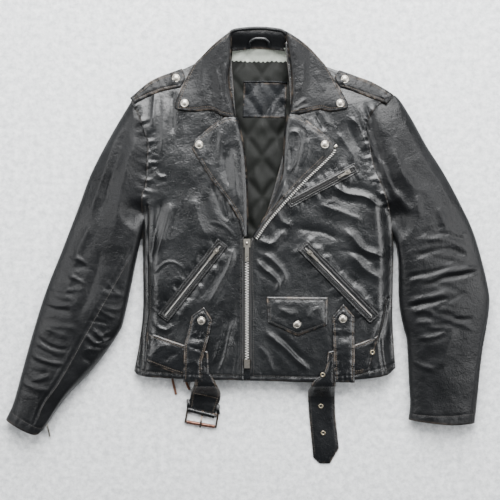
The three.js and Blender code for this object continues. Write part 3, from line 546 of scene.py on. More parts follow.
@dataclass
class Leaf:
    """A sewn leaf of leather or cloth between four edge lines.

    Its plan is a Coons patch. Its outer face lies a thickness over what is under it, and its rim
    is rounded off. Edges run left to right and bottom to top.
    """

    name: str
    bottom: Sequence[Point]
    right: Sequence[Point]
    top: Sequence[Point]
    left: Sequence[Point]
    under: Surface
    thickness: float = 2.2
    step: float = 2.6
    rim: float = 2.0
    puff: float = 0.0  # how far its middle swells over its rim
    gather: float = 0.0  # height of the gathers along its stitched rim
    straight: bool = False  # its edges are straight between their points
    wear_reach: float = 1.6  # how far in from the rim the finish has worn off
    open_wear: float = 0.7
    folds: tuple[Fold, ...] = ()
    x: Array = field(init=False, repr=False)
    y: Array = field(init=False, repr=False)
    z: Array = field(init=False, repr=False)

    def edge(self, points: Sequence[Point], at: Array) -> Array:
        """One edge's points at shares of its length."""
        if self.straight:
            p = np.asarray(points, float)
            along = distances(p)
            return np.stack([np.interp(at * along[-1], along, p[:, k]) for k in (0, 1)], axis=1)
        return curve(points, len(at), at)

    def shape(self) -> None:
        """Works out the grid of places and the outer face's heights."""
        across = max(length_of(self.bottom), length_of(self.top))
        up = max(length_of(self.left), length_of(self.right))
        self.u = shares(across, self.step, self.rim)
        self.v = shares(up, self.step, self.rim)
        b, t = self.edge(self.bottom, self.u), self.edge(self.top, self.u)
        l, r = self.edge(self.left, self.v), self.edge(self.right, self.v)
        plan = patch(b, r, t, l, self.u, self.v)
        self.x, self.y = plan[..., 0], plan[..., 1]
        dx = np.hypot(np.diff(self.x, axis=1), np.diff(self.y, axis=1))
        dy = np.hypot(np.diff(self.x, axis=0), np.diff(self.y, axis=0))
        from_left = np.concatenate([np.zeros((len(self.v), 1)), np.cumsum(dx, axis=1)], axis=1)
        from_bottom = np.concatenate([np.zeros((1, len(self.u))), np.cumsum(dy, axis=0)], axis=0)
        sides = np.stack([from_left, from_left[:, -1:] - from_left, from_bottom,
                          from_bottom[-1:] - from_bottom])
        self.inside = sides.min(axis=0)
        self.run = np.where(sides[:2].min(axis=0) < sides[2:].min(axis=0), from_bottom, from_left)
        self.uv = np.stack([from_left, from_bottom], axis=-1) * MM
        z = self.under(self.x, self.y) + self.thickness
        z = z + self.puff * ramp(self.inside / 14.0)
        for fold in self.folds:
            z = z + fold.at(self.x, self.y)
        if self.gather:
            pull = PUCKER(self.run / 4.6 + 3, self.inside / 22.0) + 0.7 * PUCKER(self.run / 9.5,
                self.inside / 22.0 + 5)
            z = z + self.gather * pull * bell(self.inside - 5, 7.0)
            z = z - 0.55 * bell(self.inside - 4.5, 1.5)
        self.z = z

    def build(self) -> bpy.types.Object:
        """Makes the closed shell.

        Returns:
            The leaf's object.
        """
        self.shape()
        round_off = 0.3 * self.thickness * (1 - ramp(self.inside / self.rim))
        top = to_frame(self.x, self.y, self.z - round_off)
        low = to_frame(self.x, self.y, self.z - self.thickness + round_off)
        rows, columns = self.x.shape
        number = np.arange(rows * columns).reshape(rows, columns)
        ring = np.concatenate([number[0, :-1], number[:-1, -1], number[-1, :0:-1], number[:0:-1, 0]])
        flat = np.stack([self.x.ravel()[ring], self.y.ravel()[ring]], axis=1)
        way = np.roll(flat, -1, axis=0) - np.roll(flat, 1, axis=0)
        way /= np.maximum(np.linalg.norm(way, axis=1, keepdims=True), 1e-9)
        out = np.stack([way[:, 1], -way[:, 0]], axis=1)
        place = flat + out * 0.3 * self.thickness
        middle = to_frame(place[:, 0], place[:, 1], self.z.ravel()[ring] - self.thickness / 2)
        n = rows * columns
        points = np.concatenate([top.reshape(-1, 3), low.reshape(-1, 3), middle])
        face = grid_faces(rows, columns)
        edge = np.arange(len(ring))
        after = (edge + 1) % len(ring)
        upper = np.stack([ring, ring[after], 2 * n + after, 2 * n + edge], axis=1)[:, ::-1]
        lower = np.stack([2 * n + edge, 2 * n + after, n + ring[after], n + ring], axis=1)[:, ::-1]
        faces = [face, face[:, ::-1] + n, upper, lower]
        rubbed = 0.5 + 0.5 * SOFT(self.run / 23.0, self.inside / 60.0) + 0.3 * PUCKER(self.run / 4.0,
            0 * self.run)
        wear = bell(self.inside, self.wear_reach) * np.clip(rubbed * 1.5 - 0.25, 0, 1) * self.open_wear
        wear = wear.ravel()
        wears = np.concatenate([wear, wear, wear[ring]])
        uv = self.uv.reshape(-1, 2)
        return make_object(self.name, points, faces, wears, np.concatenate([uv, uv, uv[ring]]))

    def along_edge(self, side: "Side", inset: float, trim: float = 4.0) -> Array:
        """The line on the outer face at an inset from one edge.

        Args:
            side: Which edge.
            inset: How far in.
            trim: How far from the edge's ends the line starts and stops.

        Returns:
            Points in plan millimetres, with heights.
        """
        grid = np.stack([self.x, self.y, self.z], axis=-1)
        if side in (Side.TOP, Side.BOTTOM):
            grid = np.swapaxes(grid, 0, 1)
        if side in (Side.RIGHT, Side.TOP):
            grid = grid[:, ::-1]
        gaps = np.linalg.norm(np.diff(grid[..., :2], axis=1), axis=-1)
        far = np.concatenate([np.zeros((len(grid), 1)), np.cumsum(gaps, axis=1)], axis=1)
        line = np.array([[np.interp(inset, f, g[:, k]) for k in range(3)] for f, g in zip(far, grid)])
        along = distances(line)
        keep = (along >= trim) & (along <= along[-1] - trim)
        return line[keep]


class Side(Enum):
    """The four edges of a leaf."""

    LEFT = "left"
    RIGHT = "right"
    TOP = "top"
    BOTTOM = "bottom"


# ---- Finishes ----
def linear(sheet_colour: str) -> tuple[float, float, float, float]:
    """An sRGB hex value as linear colour with full cover."""
    parts = [int(sheet_colour[k:k + 2], 16) / 255 for k in (1, 3, 5)]
    return (*[c / 12.92 if c <= 0.04045 else ((c + 0.055) / 1.055) ** 2.4 for c in parts], 1.0)


def add(tree: bpy.types.NodeTree, kind: str, inputs: dict | None = None,
        **settings: object) -> bpy.types.Node:
    """Adds a node.

    Args:
        tree: Where it goes.
        kind: Its type, without ShaderNode.
        inputs: What each input holds: a value, or an output that feeds it.
        settings: The node's own settings.

    Returns:
        The node.
    """
    node = tree.nodes.new("ShaderNode" + kind)
    for key, value in settings.items():
        setattr(node, key, value)
    for key, value in (inputs or {}).items():
        if isinstance(value, bpy.types.NodeSocket):
            tree.links.new(value, node.inputs[key])
        else:
            node.inputs[key].default_value = value
    return node


class Finish:
    """A surface finish, made a material once and then shared."""

    made: dict[str, bpy.types.Material] = {}
    name: str

    def material(self) -> bpy.types.Material:
        """The finish's material."""
        if self.name not in Finish.made:
            made = bpy.data.materials.new(self.name)
            made.use_nodes = True
            made.node_tree.nodes.clear()
            out = add(made.node_tree, "OutputMaterial")
            made.node_tree.links.new(self.surface(made.node_tree), out.inputs["Surface"])
            Finish.made[self.name] = made
        return Finish.made[self.name]

    def surface(self, tree: bpy.types.NodeTree) -> bpy.types.NodeSocket:
        """Builds the shader and gives its output."""
        raise NotImplementedError


@dataclass(frozen=True)
class Leather(Finish):
    """Chrome-tanned cowhide, drum-dyed and spray-finished black.

    The eye sees a grey-blue sheen that breaks up into blotches, a fine pebble, small creases, and
    brown where the finish has rubbed off an edge.
    """

    name: str
    base: str
    pale: str
    worn: str = "#75675a"
    rough: float = 0.42
    spread: float = 0.13
    pebble: float = 2.6  # mm, about twice the real one, so that it shows
    bump: float = 0.42
    coat: float = 0.25
    specular: float = 0.5

    def surface(self, tree: bpy.types.NodeTree) -> bpy.types.NodeSocket:
        """Colour from broad blotches and wear, gloss from blotches, relief from pebble and creases."""
        place = add(tree, "TexCoord").outputs["Object"]
        broad = add(tree, "TexNoise",
                    {"Vector": place, "Scale": 1 / 0.055, "Detail": 4.0, "Roughness": 0.6})
        small = add(tree, "TexNoise",
                    {"Vector": place, "Scale": 1 / 0.007, "Detail": 5.0, "Roughness": 0.65})
        cells = add(tree, "TexVoronoi", {"Vector": place, "Scale": 1000 / self.pebble}, feature="F1")
        mixed = add(tree, "Mix",
                    {"Factor": broad.outputs["Fac"], "A": linear(self.base), "B": linear(self.pale)},
                    data_type="RGBA")
        worn = add(tree, "Attribute", attribute_name="wear")
        patchy = add(tree, "MapRange", {"Value": small.outputs["Fac"], "From Min": 0.36, "From Max": 0.62})
        share = add(tree, "Math", {0: worn.outputs["Fac"], 1: patchy.outputs["Result"]},
                    operation="MULTIPLY", use_clamp=True)
        colour = add(tree, "Mix", {"Factor": share.outputs[0], "A": mixed.outputs["Result"],
                                   "B": linear(self.worn)}, data_type="RGBA")
        gloss = add(tree, "MapRange", {"Value": broad.outputs["Fac"], "From Min": 0.3, "From Max": 0.7,
                                       "To Min": self.rough - self.spread,
                                       "To Max": self.rough + self.spread})
        dull = add(tree, "Math", {0: share.outputs[0], 1: 0.3, 2: gloss.outputs["Result"]},
                   operation="MULTIPLY_ADD", use_clamp=True)
        crease = add(tree, "Bump",
                     {"Height": small.outputs["Fac"], "Strength": self.bump, "Distance": 0.0022})
        bent = add(tree, "VectorMath", {0: place, 1: add(tree, "VectorMath", {
            0: small.outputs["Color"], "Scale": 0.006}, operation="SCALE").outputs["Vector"]},
            operation="ADD")
        lines = add(tree, "TexVoronoi", {"Vector": bent.outputs["Vector"], "Scale": 1 / 0.013},
                    feature="DISTANCE_TO_EDGE")
        depth = add(tree, "MapRange", {"Value": lines.outputs["Distance"], "From Max": 0.14})
        set_in = add(tree, "Bump",
                     {"Height": depth.outputs["Result"], "Strength": self.bump * 0.22, "Distance": 0.0009,
                                    "Normal": crease.outputs["Normal"]})
        grain = add(tree, "Bump", {"Height": cells.outputs["Distance"], "Strength": self.bump * 0.6,
                                   "Distance": 0.0007, "Normal": set_in.outputs["Normal"]})
        shader = add(tree, "BsdfPrincipled", {
            "Base Color": colour.outputs["Result"], "Roughness": dull.outputs[0], "IOR": 1.5,
            "Specular IOR Level": self.specular, "Coat Weight": self.coat, "Coat Roughness": 0.22,
            "Normal": grain.outputs["Normal"]})
        return shader.outputs["BSDF"]


@dataclass(frozen=True)
class Cloth(Finish):
    """Woven rayon or cotton: a dull cross weave with a faint sheen, paler where it is rubbed."""

    name: str
    base: str
    pale: str
    thread: float = 1.6  # mm, coarser than the real 0.4 so that it shows
    rough: float = 0.72
    sheen: float = 0.25

    def surface(self, tree: bpy.types.NodeTree) -> bpy.types.NodeSocket:
        """Two crossed thread waves on the cloth's own flat map, over blotches of wear."""
        place = add(tree, "TexCoord")
        cloth = place.outputs["UV"]
        wave = 2 * np.pi / (20 * self.thread * MM)
        warp = add(tree, "TexWave", {"Vector": cloth, "Scale": wave, "Distortion": 0.6},
                   bands_direction="X")
        weft = add(tree, "TexWave", {"Vector": cloth, "Scale": wave, "Distortion": 0.6},
                   bands_direction="Y")
        weave = add(tree, "Math", {0: warp.outputs["Fac"], 1: weft.outputs["Fac"]}, operation="ADD")
        blot = add(tree, "TexNoise", {"Vector": place.outputs["Object"], "Scale": 1 / 0.03, "Detail": 4.0})
        colour = add(tree, "Mix",
                     {"Factor": blot.outputs["Fac"], "A": linear(self.base), "B": linear(self.pale)},
                     data_type="RGBA")
        relief = add(tree, "Bump", {"Height": weave.outputs[0], "Strength": 0.3, "Distance": 0.0003})
        shader = add(tree, "BsdfPrincipled", {
            "Base Color": colour.outputs["Result"], "Roughness": self.rough, "Sheen Weight": self.sheen,
            "Specular IOR Level": 0.2, "Normal": relief.outputs["Normal"]})
        return shader.outputs["BSDF"]


@dataclass(frozen=True)
class Metal(Finish):
    """Plated and tumbled metal: bright on its rubbed faces, duller and darker in patches."""

    name: str
    base: str
    dark: str
    rough: float = 0.3
    metallic: float = 1.0

    def surface(self, tree: bpy.types.NodeTree) -> bpy.types.NodeSocket:
        """Colour and gloss from tarnish blotches, with fine handling scratches."""
        place = add(tree, "TexCoord").outputs["Object"]
        blot = add(tree, "TexNoise", {"Vector": place, "Scale": 1 / 0.006, "Detail": 5.0})
        share = add(tree, "MapRange", {"Value": blot.outputs["Fac"], "From Min": 0.42, "From Max": 0.72})
        colour = add(tree, "Mix", {"Factor": share.outputs["Result"], "A": linear(self.base),
                                   "B": linear(self.dark)}, data_type="RGBA")
        gloss = add(tree, "MapRange", {"Value": blot.outputs["Fac"], "To Min": self.rough - 0.1,
                                       "To Max": self.rough + 0.18})
        relief = add(tree, "Bump", {"Height": blot.outputs["Fac"], "Strength": 0.15, "Distance": 0.0003})
        shader = add(tree, "BsdfPrincipled", {
            "Base Color": colour.outputs["Result"], "Metallic": self.metallic,
            "Roughness": gloss.outputs["Result"], "Normal": relief.outputs["Normal"]})
        return shader.outputs["BSDF"]


SHELL = Leather("black_cowhide_glossed", "#08090a", "#151719", rough=0.31, spread=0.09, coat=0.12)
MATT = Leather("black_cowhide_rubbed", "#08090a", "#151618", rough=0.38, spread=0.09, coat=0.0,
               specular=0.28)
STRAP = Leather("black_harness_leather", "#060708", "#0f1114", rough=0.29, spread=0.08, coat=0.12)
RAWHIDE = Leather("brown_rawhide_lace", "#4a2c1d", "#6b4530", rough=0.55, coat=0.0)
PIPED = Leather("slate_facing_leather", "#07090b", "#101317", rough=0.42, coat=0.0, specular=0.25)
QUILT = Cloth("olive_black_rayon_lining", "#040504", "#0f120e", rough=0.6, sheen=0.02)
POCKETING = Cloth("black_cotton_pocketing", "#1a1a1b", "#2b2b2b")
FRAYED = Cloth("frayed_pale_cotton_strip", "#595f57", "#b9beb4", rough=0.85)
TAPE = Cloth("black_cotton_zip_tape", "#121212", "#262626", thread=1.0)
THREAD = Cloth("waxed_tan_thread", "#463b31", "#6f6253", thread=1.0, rough=0.6)
DARK_THREAD = Cloth("waxed_grey_thread", "#1f1e1d", "#45423e", thread=1.0, rough=0.6)
NICKEL = Metal("tumbled_nickel", "#b9b4ab", "#8f8a80")
TEETH = Metal("tumbled_aluminium_teeth", "#f4f2ee", "#c9c5bf", rough=0.42, metallic=0.7)
BLACKED = Metal("worn_black_nickel", "#6e6d6d", "#2e2d2d", rough=0.34)
BRASS = Metal("aged_brass", "#9a917e", "#575040")
COPPER = Metal("rosy_bronze", "#7d5c50", "#3a2923", rough=0.4)
BRONZE = Metal("dark_bronze", "#5a4f47", "#272220", rough=0.38)


@dataclass(frozen=True)
class Hold:
    """What a piece moves with: one body, or two bodies with a bend line from one place to another, which
    nothing uses.
    """

    body: str = "root"
    to: str = ""
    start: Point = (0.0, 0.0)
    end: Point = (0.0, 0.0)

    def take(self, obj: bpy.types.Object) -> None:
        """Ties the piece to its one body; a piece held by two bodies is only baked in place and tied to
        neither.
        """
        if not self.to:
            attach(obj, self.body)
            return
        a, b = (to_frame(*np.array(p, float), 0.0) for p in (self.start, self.end))
        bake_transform(obj)


ROOT = Hold()


def dress(obj: bpy.types.Object, finish: Finish, hold: Hold, slot: str, *nodes: str) -> bpy.types.Object:
    """Gives a piece its finish and its hold, and hides the frame's nodes that it stands for.

    Args:
        obj: The piece.
        finish: Its finish.
        hold: What it moves with.
        slot: Not used.
        nodes: The frame's nodes that it stands for.

    Returns:
        The piece.
    """
    obj.data.materials.append(finish.material())
    hold.take(obj)
    if nodes:
        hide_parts(*nodes)
    log.info("%s: %d faces", obj.name, len(obj.data.polygons))
    return obj


# ---- Small parts that repeat ----
def scatter(shape: Array, faces: Array, places: Array, along: Array) -> tuple[Array, Array]:
    """Copies of a small shape.

    Args:
        shape: Its points: along, across and up, in millimetres.
        faces: Its faces.
        places: Where each copy goes, in plan millimetres with heights.
        along: Each copy's direction.

    Returns:
        All points in the frame, and all faces.
    """
    d = along / np.linalg.norm(along, axis=1, keepdims=True)
    across = np.cross(np.tile([0.0, 0.0, 1.0], (len(places), 1)), d)
    across /= np.linalg.norm(across, axis=1, keepdims=True)
    n = np.cross(d, across)
    points = (places[:, None] + shape[None, :, :1] * d[:, None] + shape[None, :, 1:2] * across[:, None]
              + shape[None, :, 2:] * n[:, None])
    numbers = faces[None] + (np.arange(len(places)) * len(shape))[:, None, None]
    flat = points.reshape(-1, 3)
    return to_frame(flat[:, 0], flat[:, 1], flat[:, 2]), numbers.reshape(-1, faces.shape[1])


def block(long: float, wide: float, high: float, taper: float = 0.75) -> tuple[Array, Array]:
    """A small block with a narrower top: eight points and six faces."""
    base = np.array([[-1, -1, 0], [1, -1, 0], [1, 1, 0], [-1, 1, 0]], float)
    top = base * [taper, taper, 1] + [0, 0, 1]
    points = np.vstack([base, top]) * [long / 2, wide / 2, high]
    faces = np.array([[3, 2, 1, 0], [4, 5, 6, 7], [0, 1, 5, 4], [1, 2, 6, 5], [2, 3, 7, 6], [3, 0, 4, 7]])
    return points, faces


def stitches(name: str, lines: list[Array], hold: Hold,
             finish: Finish = DARK_THREAD) -> bpy.types.Object:
    """Rows of stitches that lie in the leather's face.

    Args:
        name: The piece's name.
        lines: The seams, with heights.
        hold: What they move with.
        finish: The thread.

    Returns:
        The joined stitches.
    """
    pitch = 4.2  # from one stitch to the next
    places, ways = [], []
    for line in lines:
        along = distances(line)
        if along[-1] < 2 * pitch:
            continue
        at = np.arange(pitch / 2, along[-1] - pitch / 2, pitch)
        middle, before, after = (
            np.stack([np.interp(at + k, along, line[:, c]) for c in range(3)], axis=1)
            for k in (0, -pitch * 0.35, pitch * 0.35)
        )
        places.append(middle)
        ways.append(after - before)
    shape, faces = block(pitch * 0.68, 0.95, 0.75, 0.7)
    points, quads = scatter(shape - [0, 0, 0.35], faces, np.concatenate(places), np.concatenate(ways))
    return dress(make_object(name, points, [quads]), finish, hold, "strap_leather")


def on_surface(line: Sequence[Point], surface: Surface, lift: float = 0.0) -> Array:
    """A plan line laid on a surface, as points with heights."""
    flat = curve(line, max(4, int(length_of(line) / 3.0)))
    return np.column_stack([flat, surface(flat[:, 0], flat[:, 1]) + lift])


def lathe(profile: Array, turns: int, place: Sequence[float], name: str) -> bpy.types.Object:
    """A turned shape: a closed profile of radii and heights carried round an upright axis.

    Args:
        profile: Radii and heights, from the middle of the top to the middle of the bottom.
        turns: How many sides it has.
        place: Its foot, in plan millimetres with a height.
        name: The piece's name.

    Returns:
        The object.
    """
    angle = np.linspace(0, 2 * np.pi, turns, endpoint=False)
    r, h = profile[:, :1], profile[:, 1:]
    x, y = place[0] + r * np.cos(angle), place[1] + r * np.sin(angle)
    ring = to_frame(x, y, place[2] + h + 0 * angle)
    rows = len(profile)
    numbers = np.arange(rows * turns).reshape(rows, turns)
    faces = [grid_faces(rows, turns, wrap=True), numbers[:1, ::-1], numbers[-1:]]
    return make_object(name, ring.reshape(-1, 3), faces)


SNAP_PROFILE = np.array([(1.2, 2.6), (3.4, 2.45), (4.7, 2.05), (5.3, 1.5), (5.7, 1.3), (6.1, 1.55),
    (6.9, 1.6),
                         (7.5, 1.25), (7.7, 0.6), (7.3, 0.0)])
RIVET_PROFILE = np.array([(0.6, 1.6), (1.9, 1.4), (2.8, 0.9), (3.1, 0.2), (2.9, 0.0)])


def height_on(leaf: Leaf, x: float, y: float) -> float:
    """The height of a leaf's outer face at a place: its nearest grid point's."""
    k = np.argmin((leaf.x - x) ** 2 + (leaf.y - y) ** 2)
    return float(leaf.z.ravel()[k])


def snap(node: str, leaf: Leaf, x: float, y: float) -> None:
    """A snap's cap, pressed into a leaf, in place of the frame's plain one."""
    body = frame["nodes"][node]["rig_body"]
    obj = lathe(SNAP_PROFILE, 30, (x, y, height_on(leaf, x, y) - 0.6), node + "_cap")
    dress(obj, NICKEL, Hold(body), "nickel", node)


def rivet(name: str, leaf: Leaf, x: float, y: float, body: str) -> None:
    """A small domed rivet in a leaf."""
    dress(lathe(RIVET_PROFILE, 18, (x, y, height_on(leaf, x, y) - 0.5), name), BLACKED, Hold(body), "nickel")


def loop_sweep(name: str, inner: Array, outer: Array, section: Array, under: Surface) -> bpy.types.Object:
    """A closed band between two loops that have the same count of points.

    Args:
        name: The piece's name.
        inner, outer: The two loops, in plan.
        section: The band's closed section: shares from outer to inner, and heights.
        under: What the band lies on.

    Returns:
        The object.
    """
    m = section[:, None, :1]
    plan = (1 - m) * outer[None] + m * inner[None]
    z = under(plan[..., 0], plan[..., 1]) + section[:, 1:]
    points = to_frame(plan[..., 0], plan[..., 1], z)
    return make_object(name, points.reshape(-1, 3),
                       [grid_faces(len(section), len(inner), wrap=True, ring=True)])


def tube(name: str, path: Array, wide: float, high: float, sides: int = 10) -> bpy.types.Object:
    """A round or flat rod along a path, with flat ends.

    Args:
        name: The piece's name.
        path: Its middle line, in plan millimetres with heights.
        wide, high: Half its width and half its height.
        sides: How many sides it has.

    Returns:
        The object.
    """
    way = tangents(path)
    across = np.cross([0.0, 0.0, 1.0], way)
    across /= np.maximum(np.linalg.norm(across, axis=1, keepdims=True), 1e-9)
    up = np.cross(way, across)
    angle = np.linspace(0, 2 * np.pi, sides, endpoint=False)[None, :, None]
    rings = path[:, None] + across[:, None] * wide * np.cos(angle) + up[:, None] * high * np.sin(angle)
    points = to_frame(rings[..., 0], rings[..., 1], rings[..., 2]).reshape(-1, 3)
    numbers = np.arange(len(path) * sides).reshape(-1, sides)
    return make_object(name, points,
                       [grid_faces(len(path), sides, wrap=True), numbers[:1, ::-1], numbers[-1:]])


# ---- Zips ----
@dataclass(frozen=True)
class Zip:
    """A metal zip: its tape, and teeth that are bent strips with a narrower head."""

    name: str
    line: tuple[Point, ...]
    under: Surface
    hold: Hold
    replaces: tuple[str, ...]
    tape: float = 9.0  # half its width
    pitch: float = 3.3
    reach: float = 4.6  # a tooth's length across
    single: bool = False  # only the right-hand row shows
    tape_lift: float = 0.2
    metal: Finish = TEETH

    def build(self) -> None:
        """Builds and dresses the tape and the teeth."""
        middle = curve(self.line, 60)
        way = tangents(middle)
        left = leftward(way)
        inner = 0.0 if self.single else self.tape
        near, off = (middle + left * self.tape, middle - left * inner)
        tape = Leaf(self.name + "_tape", bottom=[tuple(near[0]), tuple(off[0])],
                    right=[tuple(p) for p in (*off[::3], off[-1])], top=[tuple(near[-1]), tuple(off[-1])],
                    left=[tuple(p) for p in (*near[::3], near[-1])],
                    under=lambda x, y: self.under(x, y) + self.tape_lift, thickness=0.9, step=3.0, rim=0.6,
                    straight=True)
        dress(tape.build(), TAPE, self.hold, "nickel", *self.replaces)
        count = int(length_of(middle) / self.pitch)
        sides = (1.0,) if self.single else (1.0, -1.0)
        shape, faces = block(0.4 * self.pitch, self.reach, 2.2, 0.7)
        points, quads, base = [], [], 0
        for side in sides:
            at = (np.arange(count) + (0.25 if side > 0 else 0.75)) / count
            p, d = curve(middle, count, at), curve(way, count, at)
            n = leftward(d)
            q = p + n * side * (-self.reach / 2 + 0.2 if self.single else self.reach * 0.3)
            place = np.column_stack([q, self.under(q[:, 0], q[:, 1]) + self.tape_lift + 0.7])
            more, numbers = scatter(shape, faces, place, np.column_stack([d, 0 * d[:, 0]]))
            points.append(more)
            quads.append(numbers + base)
            base += len(more)
        obj = make_object(self.name + "_teeth", np.concatenate(points), [np.concatenate(quads)])
        obj.data.polygons.foreach_set("use_smooth", np.zeros(len(obj.data.polygons), bool))
        dress(obj, self.metal, self.hold, "nickel")


def rounded(slit: Slit, half_long: float, half_wide: float, radius: float, long_count: int) -> Array:
    """A rectangle with round corners about a slit, with the same count of points whatever its size."""
    corner = np.linspace(0, np.pi / 2, 5)
    parts = []
    for k, (sx, sy) in enumerate(((1, 1), (-1, 1), (-1, -1), (1, -1))):
        angle = corner + k * np.pi / 2
        parts.append(np.stack([sx * (half_long - radius) + radius * np.cos(angle),
                               sy * (half_wide - radius) + radius * np.sin(angle)], axis=1))
        following = ((-1, 1), (-1, -1), (1, -1), (1, 1))[k]
        a = parts[-1][-1]
        b = np.array([following[0] * (half_long - radius) + radius * np.cos(angle[-1]),
                      following[1] * (half_wide - radius) + radius * np.sin(angle[-1])])
        n = long_count if k % 2 == 0 else 8
        parts.append(a + (b - a) * np.linspace(0, 1, n + 2)[1:-1, None])
    loop = np.concatenate(parts)
    x, y = slit.place(loop[:, 0] + slit.length / 2, loop[:, 1])
    return np.stack([x, y], axis=1)


WELT_SECTION = np.array([(0.0, -0.6), (-0.03, 0.6), (0.04, 1.5), (0.16, 2.1), (0.32, 2.0), (0.45, 1.2),
                         (0.58, 2.0), (0.8, 2.3), (0.95, 1.9), (1.0, 1.0), (1.0, -0.6)])


# ---- The jacket's own sub-assemblies ----
def under_fronts(x: Array, y: Array) -> Array:
    """The inner face of the fronts."""
    return front_height(x, y) - FRONT_LEATHER


def seam_distance(x: Array, y: Array) -> Array:
    """How far a place is from the nearest side seam or shoulder seam, where front and back meet."""
    lines = [curve(p, 30) for p in (SIDE_LEFT, ARMHOLE_LEFT, SHOULDER_LEFT, SIDE_RIGHT, ARMHOLE_RIGHT,
                                    SHOULDER_RIGHT)]
    return np.minimum.reduce([nearest(x, y, line)[0] for line in lines])


def back_height(x: Array, y: Array) -> Array:
    """What the back's inner face rises to: flat on the ground, and up to the fronts at the seams."""
    close = (1 - np.clip(seam_distance(x, y) / 20.0, 0, 1)) ** 2
    return 2.5 + close * np.maximum(under_fronts(x, y) - 3.0, 0) + 0.25 * SOFT(x / 40, y / 40)


def lining_height(x: Array, y: Array) -> Array:
    """The lining of the back: quilted in diamonds, slack and crinkled, a little over the leather."""
    loose = ramp((seam_distance(x, y) - 8) / 24.0) * ramp((y - 14) / 30.0)
    rows = [np.abs((x * a + y * b) / 46.0 % 1.0 - 0.5) * 46.0 for a, b in ((0.8, 0.6), (-0.8, 0.6))]
    quilt = 3.4 * (1 - bell(np.minimum(*rows), 7.0))
    slack = quilt + 3.0 + 2.0 * SOFT.layers(x / 46.0, y / 80.0, 2) + crumple(x, y, 30.0, 2.4)
    slack = slack + crumple(x, y * 0.5, 13.0, 1.0)
    return back_height(x, y) + 0.4 + loose * np.maximum(slack, 0.3)


LEFT_SIDE = (*SIDE_LEFT, *ARMHOLE_LEFT[1:])
RIGHT_SIDE = (*SIDE_RIGHT, *ARMHOLE_RIGHT[1:])
HEM_BACK = ((-241, 19), (-227, 12), (-148, 7), (-40, 5), (97, 1), (177, 6), (232, 13), (251, 25))
NECK = ((-60, 634), (-44, 654), (-8, 658), (30, 654), (44, 634))


